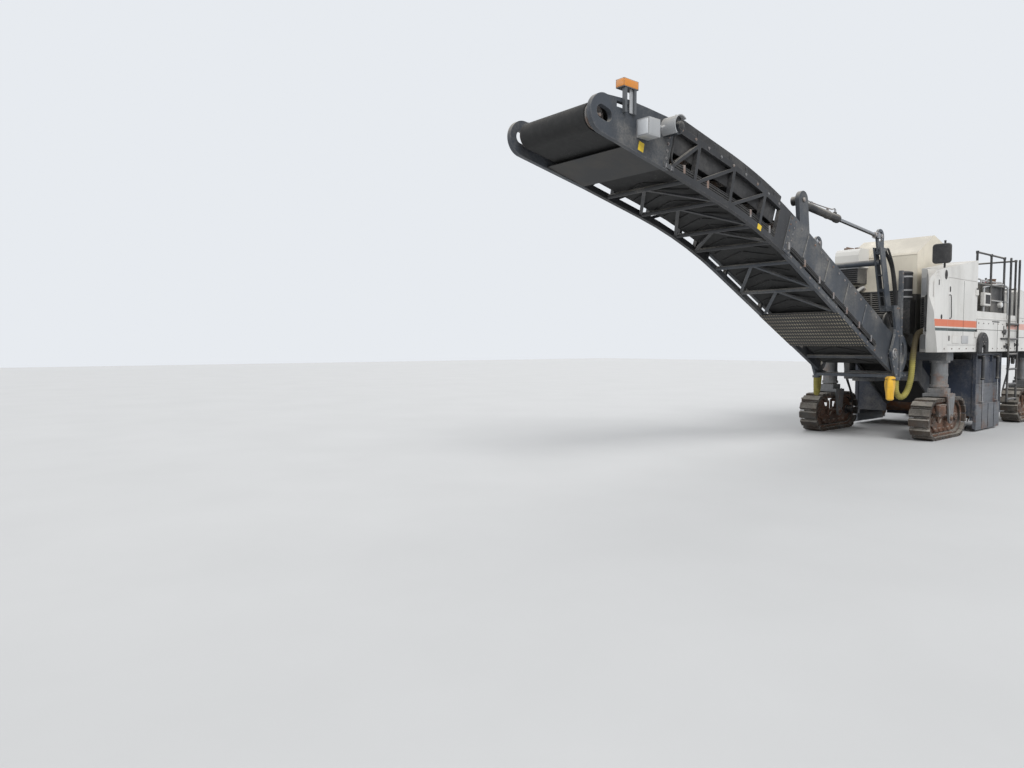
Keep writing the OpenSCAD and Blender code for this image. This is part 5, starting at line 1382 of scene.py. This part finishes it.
class PLANER_OT_yellow_hoses(bpy.types.Operator):
    """Wrapped yellow hoses from the side compartments to the turret, and the cloth bundle tied beside them"""

    bl_idname = "planer.yellow_hoses"
    bl_label = "Yellow hoses"

    def execute(self, context):
        angle = math.radians(-68.4)
        out = Vector((math.cos(angle), math.sin(angle), 0))
        gland = Vector((0.600, 0.9594, 1.880))
        route = [gland + out * 0.041, gland + out * 0.060] + [Vector(place) for place in (
            (0.640, 0.862, 1.850), (0.662, 0.836, 1.780), (0.690, 0.822, 1.660), (0.716, 0.815, 1.520),
            (0.738, 0.812, 1.380), (0.758, 0.812, 1.220), (0.790, 0.810, 1.060), (0.838, 0.798, 0.920),
            (0.905, 0.778, 0.812), (0.985, 0.752, 0.758), (1.050, 0.726, 0.770), (1.098, 0.706, 0.830),
            (1.118, 0.700, 0.900), (1.120, 0.700, 0.970), (1.120, 0.700, 1.049))]
        for side, name in SIDES:
            path = [Vector((point.x, point.y * side, point.z)) for point in smooth_path(route, 150)]
            shape = Shape()
            shape.pipe(path, HOSE_RADIUS, 20)
            self.wrap(shape, path)
            made = shape.build("wrapped_hose_" + name, "hose", "hose_wrap")
            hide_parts("hose_" + name)
            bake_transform(made)
            path = [spot(*point) for point in path]
        self.bundle()
        return {"FINISHED"}

    def wrap(self, shape, path):
        """A raised spiral round the hose."""
        lengths = [0.0]
        for a, b in zip(path, path[1:]):
            lengths.append(lengths[-1] + (b - a).length)
        turns = lengths[-1] / WRAP_PITCH
        count = int(turns * 14)
        coil = []
        for i in range(count + 1):
            d = lengths[-1] * i / count
            k = next(j for j in range(1, len(lengths)) if lengths[j] >= d - 1e-9)
            share = (d - lengths[k - 1]) / max(lengths[k] - lengths[k - 1], 1e-9)
            ahead = (path[k] - path[k - 1]).normalized()
            across = ahead.cross(Vector((0.9, 0.44, 0))).normalized()
            angle = math.tau * turns * i / count
            outward = across * math.cos(angle) + ahead.cross(across) * math.sin(angle)
            coil.append(path[k - 1].lerp(path[k], share) + outward * HOSE_RADIUS)
        shape.pipe(coil, WRAP_RADIUS, 5, slot=1)

    def bundle(self):
        """A folded bright cloth, tied round with a cord, that hangs from the turret beside the hose."""
        draw = random.Random(7)
        shape = Shape()
        top, foot = 1.12, 0.70
        tie = 0.14
        count, sides = 20, 26
        loops = []
        for k in range(count):
            t = k / (count - 1)
            wide = 0.090 + 0.014 * math.sin(math.pi * min(t * 1.2, 1)) - 0.018 * t
            if abs(t - tie) < 0.03:
                wide *= 0.86
            if k in (0, count - 1):
                wide *= 0.45
            verts = []
            for j in range(sides):
                a = math.tau * j / sides
                x = math.cos(a) * wide * (1 + 0.13 * math.sin(5 * a + 3 * t) + draw.uniform(-0.03, 0.03))
                y = math.sin(a) * wide * 0.8 * (1 + 0.12 * math.sin(4 * a - 5 * t))
                place = (1.235 + 0.02 * math.sin(3 * t) + x, 0.66 + y, top + (foot - top) * t)
                verts.append(shape.mesh.verts.new(place))
            loops.append([shape.mesh.edges.new((verts[j], verts[(j + 1) % sides])) for j in range(sides)])
        for a, b in zip(loops, loops[1:]):
            bmesh.ops.bridge_loops(shape.mesh, edges=a + b)
        for end in (loops[0], loops[-1]):
            bmesh.ops.holes_fill(shape.mesh, edges=end, sides=sides)
        cord = [(0.072, -0.006), (0.086, -0.004), (0.086, 0.004), (0.072, 0.006)]
        shape.turned((1.24, 0.66, top + (foot - top) * tie), UP, cord, 24, slot=1)
        made = shape.piece("cloth_bundle", "turret", "cloth_yellow", "black_rubber", smooth=60)
        smooth = made.modifiers.new("smooth", "SUBSURF")
        smooth.levels = smooth.render_levels = 1


class PLANER_OT_turret_trim(bpy.types.Operator):
    """Pins, bolts, cylinder glands and hoses of the turret and the lift cylinders"""

    bl_idname = "planer.turret_trim"
    bl_label = "Turret trim"

    def execute(self, context):
        self.pins()
        self.ribs()
        self.hoses()
        self.cylinders()
        self.rod_ends()
        return {"FINISHED"}

    def pins(self):
        """Lift pivots, bolt rows and mast pin heads."""
        shape = Shape()
        x, y, z = LIFT[0], CONVEYOR_Y + 0.06, LIFT[1]
        cap = [(0.0, 0.012), (0.030, 0.012), (0.044, 0.004), (0.045, -0.002)]
        flange = [(0.047, 0.016), (0.085, 0.016), (0.09, 0.010), (0.09, -0.001)]
        pin = [(0.0, 0.010), (0.024, 0.010), (0.034, 0.004), (0.036, 0.0)]
        shape.turned((x, y + 0.02, z), OUT, cap, 24)
        shape.turned((x, y, z), OUT, flange, 32)
        shape.bolts(ring((x, y + 0.016, z), 0.068, 6), OUT, 0.009)
        rows = ((0.80, 1.12), (0.92, 1.12), (1.04, 1.12), (1.16, 1.14), (1.26, 1.28), (1.30, 1.40),
                (1.11, 1.24), (1.10, 1.80), (1.14, 1.87))
        shape.bolts([(bolt_x, y, bolt_z) for bolt_x, bolt_z in rows], OUT, 0.012)
        shape.bolts([(1.036, y + 0.02, height) for height in steps(1.2, 2.85, 12)], OUT, 0.010)
        shape.bolts([(bolt_x, y + 0.001, 2.26) for bolt_x in (1.12, 1.18)], OUT, 0.011)
        for way in (1, -1):
            shape.turned((MAST_PIN[0], CYLINDER_Y + way * 0.0455, MAST_PIN[1]), (0, way, 0), pin, 20)
        shape.mirror().piece("turret_pins", "turret", "zinc")

    def ribs(self):
        """Crossbars between each mast's two plates."""
        shape = Shape()
        for z in (2.45, 2.80):
            back = 1.010 + 0.43 * (z - 1.9) / (MAST_PIN[1] - 0.18 - 1.9)
            shape.block_at((back, CYLINDER_Y, z), (0.03, -0.061, 0), (0.15, 0.061, 0.02), 0.004, 1)
        shape.mirror().piece("mast_ribs", "turret", "turret_grey")

    def hoses(self):
        """Lines up the mast's rear edge, and the slack hoses over to the cylinder's ports."""
        shape = Shape()
        rise_of_line = ((1.075, 0.09, 1.95), (1.04, 0.02, 2.15), (1.085, 0.0, 2.30), (1.205, 0.0, 2.70),
                        (1.32, 0.0, 3.05), (1.375, 0.0, 3.22))
        for y in (CYLINDER_Y - 0.03, CYLINDER_Y, CYLINDER_Y + 0.03):
            shape.pipe(smooth_path([(x, y + out, z) for x, out, z in rise_of_line], 40), 0.011, 8)
        shape.mirror()
        for side, offset, bow, radius in (
            (1, -0.02, 0.80, 0.026), (1, 0.035, 0.86, 0.018),
            (-1, -0.02, 1.03, 0.026), (-1, 0.035, 1.06, 0.018),
        ):
            y = CYLINDER_Y + offset
            route = [(1.38, y, 3.20), (1.27, y, 3.26), (1.16, y - 0.01, 3.20), (bow + 0.12, y - 0.02, 3.00),
                     (bow, y - 0.02, 2.70), (bow - 0.02, y, 2.40), (0.5 + bow / 2, y + 0.03, 2.12),
                     (1.0, y + 0.08, 1.96)]
            shape.pipe(smooth_path([(x, side * across, z) for x, across, z in route], 44), radius, 12)
        shape.piece("mast_lines", "turret", "black_rubber")

    def on_cylinder(self, d, lift=0.0, out=0.0):
        """A place on the left lift cylinder, this far from the mast's pin, above its line and out from it."""
        return Vector((MAST_PIN[0], CYLINDER_Y + out, MAST_PIN[1])) + CYLINDER_WAY * d + CYLINDER_UP * lift

    def cylinders(self):
        """Gland nut, ports, weld rings and steel lines of the lift cylinders."""
        shape = Shape()
        gland = [(0.031, -0.012), (0.052, -0.012), (0.066, 0.0), (0.0665, 0.045), (0.060, 0.062),
                 (0.0574, 0.064)]
        weld = [(0.0574, -0.012), (0.064, -0.008), (0.064, 0.008), (0.0574, 0.012)]
        pin = [(0.0, 0.012), (0.022, 0.012), (0.031, 0.004), (0.0325, -0.002)]
        on, length = self.on_cylinder, CYLINDER_LENGTH
        shape.turned(on(length - 1.27), CYLINDER_WAY, gland, 32)
        for d in (length - 0.115, length - 0.95):
            shape.turned(on(d), CYLINDER_WAY, weld, 32)
        for d in (length - 1.19, length - 0.19):
            shape.block_at(on(d, 0.05), (-0.025, -0.02, 0), (0.025, 0.02, 0.04), 0.005, 2)
            shape.rod(on(d, 0.085), on(d, 0.125), 0.014, sides=6, slot=1)
        line = ((1.19, 0.12), (1.16, 0.135), (1.05, 0.105), (0.6, 0.082), (0.33, 0.082), (0.27, 0.10))
        shape.pipe(smooth_path([on(length - back, lift) for back, lift in line], 40), 0.009, 8, slot=1)
        for d in (length - 0.95, length - 0.45):
            shape.block_at(on(d, 0.055), (-0.014, -0.016, 0), (0.014, 0.016, 0.036), 0.003, 1, slot=1)
        x, _, z = on(length)
        shape.turned((x, CONVEYOR_Y + 0.012, z), OUT, pin, 24, slot=1)
        shape.mirror().piece("cylinder_fittings", "lift_barrels", "black_paint", "zinc")

    def rod_ends(self):
        """Clamped collars with their bolts at the rods' eyes."""
        shape = Shape()
        on = self.on_cylinder
        collar = [(0.0302, 0.0), (0.040, 0.0), (0.043, 0.01), (0.043, 0.05), (0.034, 0.062), (0.0302, 0.064)]
        shape.turned(on(0.150), CYLINDER_WAY, collar, 24)
        for side in (-1, 1):
            shape.bolts([on(0.17, lift, side * 0.0401) for lift in (-0.024, 0.024)], (0, side, 0), 0.008)
        shape.mirror().piece("rod_ends", "lift_rods", "zinc")


class PLANER_OT_drum_trim(bpy.types.Operator):
    """Ribs, bolts, spray bar, scraper and plate cylinders of the milling gear"""

    bl_idname = "planer.drum_trim"
    bl_label = "Drum trim"

    def execute(self, context):
        self.housing()
        self.plate_cylinders()
        self.gate()
        self.spray_bar()
        self.tools()
        return {"FINISHED"}

    def housing(self):
        """Ribs and bolts on the housing's sides."""
        shape = Shape()
        y = HOUSING_Y
        for x in (-2.79, -2.36, -1.90, -1.45):
            shape.block((x - 0.025, y - 0.002, 0.93), (x + 0.025, y + 0.003, 1.33))
            shape.block((x - 0.012, y - 0.002, 1.32), (x + 0.012, y + 0.045, 1.48), 0.004, 1)
        shape.block((-2.80, y - 0.002, 1.455), (-1.44, y + 0.05, 1.485), 0.006, 1)
        shape.mirror().piece("housing_ribs", "machine", "navy")
        bolts = Shape()
        columns = (-2.70, -2.45, -2.27, -2.0, -1.80, -1.55)
        bolts.bolts([(x, y, z) for x in columns for z in (1.345, 1.425)], OUT, 0.011)
        bolts.mirror().piece("housing_bolts", "machine", "zinc")

    def plate_cylinders(self):
        """Hydraulic cylinders that lift the edge plates, and their rods."""
        barrel = Shape()
        profile = [(0.0, 0.0), (0.034, 0.0), (0.036, 0.004), (0.036, 0.03), (0.029, 0.036), (0.029, 0.44),
                   (0.024, 0.447), (0.0, 0.447)]
        for x in PLATE_CYLINDERS_X:
            barrel.turned((x, PLATE_CYLINDERS_Y, 0.98), UP, profile, 24)
            barrel.block((x - 0.022, HOUSING_Y, 1.38), (x + 0.022, PLATE_CYLINDERS_Y + 0.012, 1.44), 0.004, 1)
        barrel.mirror().piece("plate_cylinders", "machine", "black_paint")
        for side, name in SIDES:
            rods = Shape()
            y = side * PLATE_CYLINDERS_Y
            for x in PLATE_CYLINDERS_X:
                rods.rod((x, y, 0.55), (x, y, 1.01), 0.015, sides=16)
                low, high = (x - 0.026, side * 1.105, 0.526), (x + 0.026, y + side * 0.02, 0.574)
                rods.block(low, high, 0.005, 1, slot=1)
            rods.bolts([(x, side * 1.108, 0.86) for x in steps(-2.72, -1.5, 8)], (0, side, 0), 0.010, slot=1)
            rods.piece("plate_rods_" + name, "edge_plate_" + name, "chrome", "worn_plate")

    def gate(self):
        """Ribs and bolts of the rear gate."""
        shape = Shape()
        for y in steps(-0.95, 0.95, 7):
            shape.block((-2.889, y - 0.01, 0.20), (-2.883, y + 0.01, 1.10), 0.002, 1)
        shape.bolts([(-2.885, y, z) for y in steps(-0.9, 0.9, 10) for z in (0.17, 0.22)], (-1, 0, 0), 0.011)
        shape.piece("gate_ribs", "rear_gate", "navy")

    def spray_bar(self):
        """The water bar in the housing, with its nozzles and brackets."""
        shape = Shape()
        shape.pipe([(-1.46, y, 1.22) for y in steps(-0.98, 0.98, 12)], 0.02, 12)
        for y in steps(-0.9, 0.9, 13):
            shape.rod((-1.462, y, 1.21), (-1.49, y, 1.175), 0.009, 0.006, sides=8, slot=1)
        for y in (-0.7, 0, 0.7):
            shape.block((-1.475, y - 0.02, 1.20), (-1.445, y + 0.02, 1.325), 0.004, 1)
        shape.piece("spray_bar", "machine", "black_paint", "zinc")

    def tools(self):
        """Tips, collars and holder feet of the tools, on the drum's helical rows."""
        shape = Shape()
        shell, lean = 0.36, math.radians(55)
        for i, y in enumerate(steps(-0.97, 0.97, 72)):
            angle = math.radians(abs(y) * 330 + (i % 2) * 180)
            turn = Matrix.Rotation(angle, 3, "Y")
            tool = DRUM_AXIS + turn @ Vector((shell + 0.048, y, 0))
            way = turn @ Vector((math.sin(lean), 0, math.cos(lean)))
            shape.rod(tool + way * 0.088, tool + way * 0.1045, 0.0075, 0.0055, sides=8)
            shape.rod(tool + way * 0.004, tool + way * 0.018, 0.024, 0.024, sides=12, slot=1)
            verts = shape.block((-0.012, -0.033, -0.062), (0.006, 0.033, 0.062), 0.004, 1, slot=1)
            shape.put(verts, angle, "Y", DRUM_AXIS + turn @ Vector((shell - 0.002, y, 0)))
        shape.piece("tool_tips", "drum", "chrome", "drum_steel")


# The rounded cap on a rail's end, as radii and heights
RAIL_CAP = [(0.0205, 0.0), (0.0205, 0.008), (0.015, 0.018), (0.0, 0.021)]


class PLANER_OT_deck_trim(bpy.types.Operator):
    """Control panels, deck plates, ladder treads, rail joints and mirrors"""

    bl_idname = "planer.deck_trim"
    bl_label = "Deck trim"

    def execute(self, context):
        self.side_panels()
        self.outer_fittings()
        self.main_panel()
        self.deck()
        self.rail_joints()
        self.ladders()
        self.mirrors()
        return {"FINISHED"}

    def lever(self, shape, foot, tip, radius, knob):
        """A lever whose knob has this radius."""
        shape.rod(foot, tip, radius, sides=10)
        ball = [(0.0, 0.0), (knob - 0.004, 0.004), (knob, knob), (knob - 0.004, 2 * knob - 0.004),
                (0.0, 2 * knob + 0.002)]
        shape.turned(Vector(tip) - Vector((0, 0, 0.01)), UP, ball, 16)

    def side_panels(self):
        """Sloping panels with blank screens, switches, levers and grab rails on the side consoles."""
        shape = Shape()
        top = DECK_Z + 0.65
        for x0, x1 in ((-2.80, -2.25), (-2.20, -1.65)):
            middle = (x0 + x1) / 2
            shape.block((x0, 0.915, top - 0.01), (x1, 1.105, top + 0.035), 0.014, 3)
            shape.block_at((middle, 1.0, top), (-0.12, -0.06, 0.03), (0.12, 0.06, 0.043), 0.006, 2, slot=1)
            for k in range(6):
                switch = Vector((middle - 0.2 + k * 0.08, 1.085, top + 0.034))
                shape.rod(switch, switch + Vector((0, 0, 0.018)), 0.010, 0.008, 12, slot=2 if k % 3 else 3)
            self.lever(shape, (x1 - 0.06, 0.97, top + 0.03), (x1 - 0.055, 0.965, top + 0.13), 0.007, 0.020)
        for x in (-2.83, -1.62):
            rail = ((0.93, 0.55), (0.93, 0.70), (0.96, 0.74), (1.06, 0.74), (1.09, 0.70), (1.09, 0.55))
            shape.pipe(smooth_path([(x, y, DECK_Z + z) for y, z in rail], 30), 0.014, 10, slot=4)
        shape.pipe([(x, 1.09, DECK_Z + 0.72) for x in steps(-2.83, -1.62, 8)], 0.014, 10, slot=4)
        finishes = ("black_rubber", "screen_glass", "zinc", "red_lens", "lamp_grey")
        shape.mirror().piece("side_panels", "machine", *finishes)

    def main_panel(self):
        """The cross panel in the middle with a blank screen, switches, two levers and hinges below."""
        shape = Shape()
        z = DECK_Z + 0.80
        shape.block((-1.40, -0.49, z - 0.01), (-1.17, 0.49, z + 0.03), 0.012, 3)
        shape.block((-1.37, -0.2, z + 0.025), (-1.22, 0.2, z + 0.038), 0.006, 2, slot=1)
        for y in steps(-0.44, -0.26, 4) + steps(0.26, 0.44, 4):
            for x in (-1.36, -1.30, -1.24):
                shape.rod((x, y, z + 0.028), (x, y, z + 0.044), 0.011, 0.009, sides=12, slot=2)
        for y in (-0.32, 0.32):
            self.lever(shape, (-1.19, y, z + 0.03), (-1.20, y, z + 0.14), 0.008, 0.022)
        for y in (-0.42, 0.42):
            shape.block((-1.425, y - 0.05, DECK_Z + 0.15), (-1.418, y + 0.05, DECK_Z + 0.6), 0.003, 1, slot=2)
        shape.piece("main_panel", "machine", "black_rubber", "screen_glass", "zinc")

    def outer_fittings(self):
        """Light tube guard, white box, lamp and brackets on the outer side of the side consoles."""
        shape = Shape()
        y = 1.15
        guard = ((-1.60, 2.20), (-1.60, 2.68), (-1.64, 2.74), (-2.50, 2.83), (-2.90, 2.80), (-2.99, 2.73),
                 (-3.03, 2.20))
        shape.pipe(smooth_path([(x, y, z) for x, z in guard], 60), 0.019, 12)
        shape.pipe([(x, y, 2.50) for x in steps(-1.60, -3.01, 12)], 0.014, 10)
        shape.block((-1.84, 1.121, 2.38), (-1.50, 1.20, 2.63), 0.016, 3, slot=1)
        shape.block((-1.80, 1.198, 2.42), (-1.54, 1.204, 2.59), 0.003, 1, slot=2)
        lamp = (-2.54, 1.121, 2.43)
        shape.turned(lamp, OUT, [(0.0, 0.075), (0.045, 0.07), (0.056, 0.055), (0.056, 0.0)], 28, slot=1)
        shape.turned(lamp, OUT, [(0.0, 0.079), (0.036, 0.076), (0.044, 0.071)], 28, slot=3)
        for place in ((-2.62, BODY_Y, 1.90), (-2.74, BODY_Y, 1.62)):
            shape.block_at(place, (-0.09, -0.001, -0.022), (0.09, 0.030, 0.022), 0.006, 2, slot=2)
            shape.block_at(place, (-0.075, 0.008, -0.055), (-0.045, 0.024, 0.055), 0.005, 2, slot=2)
        finishes = ("lamp_grey", "body_white", "black_rubber", "lamp_glass")
        shape.mirror().piece("console_guards", "machine", *finishes)

    def deck(self):
        """Raised tread bars on the deck."""
        shape = Shape()
        for row, x in enumerate(steps(-3.38, -1.48, 26)):
            for column, y in enumerate(steps(-0.86, 0.86, 19)):
                verts = shape.block((-0.024, -0.006, 0.0), (0.024, 0.006, 0.0035))
                shape.put(verts, math.pi / 4 if (row + column) % 2 else -math.pi / 4, "Z", (x, y, DECK_Z))
        shape.piece("tread_bars", "machine", "worn_plate", smooth=0)

    def rail_joints(self):
        """Feet, sleeves and caps of the handrails."""
        shape = Shape()
        y = BODY_Y - 0.04
        foot = [(0.021, 0.03), (0.026, 0.03), (0.028, 0.0), (0.05, 0.0), (0.05, 0.008), (0.028, 0.012)]
        sleeve_round = [(0.0205, 0.0), (0.0255, 0.002), (0.0255, 0.046), (0.0205, 0.048)]
        for x in (-1.16, -1.93, -2.70, -3.41):
            shape.turned((x, y, DECK_Z), UP, foot, 24)
            for z in (2.78, 3.35):
                shape.turned((x, y, z - 0.024), UP, sleeve_round, 20)
            shape.turned((x, y, 3.35), UP, RAIL_CAP, 20)
        shape.mirror().piece("rail_joints", "machine", "black_paint")

    def ladders(self):
        """Folded treads over the rungs, end caps and brackets of the ladders."""
        shape = Shape()
        y = BODY_Y + 0.045
        plug = [(0.0, 0.018), (0.0225, 0.018), (0.0225, 0.05), (0.0202, 0.05)]
        clamp = [(0.0205, 0.0), (0.0255, 0.002), (0.0255, 0.048), (0.0205, 0.05)]
        for z in (0.56, 0.86, 1.16, 1.46, 1.76, 2.06):
            shape.block((-3.33, y - 0.04, z + 0.004), (-2.82, y + 0.018, z + 0.021), 0.004, 1, slot=1)
            for x in steps(-3.30, -2.85, 12):
                shape.rod((x, y - 0.012, z + 0.019), (x, y - 0.012, z + 0.026), 0.012, 0.010, sides=8, slot=1)
        for x in (-3.35, -2.80):
            shape.turned((x, y, 3.345), UP, RAIL_CAP, 20)
            shape.turned((x, y, 0.50), UP, plug, 20, slot=2)
            for z in (1.65, 2.05):
                shape.block_at((x, BODY_Y, z), (-0.03, -0.001, -0.04), (0.03, 0.006, 0.04), 0.002, 1)
                shape.turned((x, y, z - 0.025), UP, clamp, 20)
        shape.mirror().piece("ladder_treads", "machine", "black_paint", "worn_plate", "black_rubber")

    def mirrors(self):
        """Rounded mirror housings with glass on their rear faces."""
        shape = Shape()
        for slot, margin, radius, x0, x1, bevel in (
            (0, 0.018, 0.055, 0.404, 0.453, 0.012), (1, -0.006, 0.035, 0.4015, 0.406, 0.0),
        ):
            points = rounded(0.990 - margin, 3.050 - margin, 1.250 + margin, 3.350 + margin, radius)
            shape.outline(points, (-x1, -x0), bevel, slot=slot)
        shape.put(shape.mesh.verts, math.pi / 2, "Z")
        shape.block((0.382, 1.13, 3.17), (0.412, 1.18, 3.23), 0.006, 2)
        knob = [(0.0165, 0.0), (0.018, 0.004), (0.018, 0.018), (0.0, 0.026)]
        shape.turned((0.40, 1.155, 3.40), UP, knob, 16)
        shape.mirror().piece("mirror_housings", "machine", "black_rubber", "mirror_glass")


STEPS = [
    PLANER_OT_stage, PLANER_OT_frame_finishes, PLANER_OT_yellow_hoses, PLANER_OT_conveyor_trim,
    PLANER_OT_body_trim, PLANER_OT_running_gear_trim, PLANER_OT_turret_trim, PLANER_OT_drum_trim,
    PLANER_OT_deck_trim,
]


class PLANER_PT_panel(bpy.types.Panel):
    """The planer's colours, and a button for each group of pieces"""

    bl_idname = "PLANER_PT_panel"
    bl_label = "Cold planer"
    bl_space_type = "VIEW_3D"
    bl_region_type = "UI"
    bl_category = "Cold planer"

    def draw(self, context):
        finish = context.scene.planer_finish
        for name in ("body_colour", "hood_colour", "stripe_colour", "conveyor_colour"):
            self.layout.prop(finish, name)
        for step in STEPS:
            self.layout.operator(step.bl_idname)


CLASSES = [PlanerFinish, *STEPS, PLANER_PT_panel]


def register():
    for item in CLASSES:
        bpy.utils.register_class(item)
    bpy.types.Scene.planer_finish = PointerProperty(type=PlanerFinish)


def unregister():
    del bpy.types.Scene.planer_finish
    for item in reversed(CLASSES):
        bpy.utils.unregister_class(item)


def main():
    register()
    for step in STEPS:
        getattr(bpy.ops.planer, step.bl_idname.split(".")[1])()


if __name__ == "__main__":
    main()
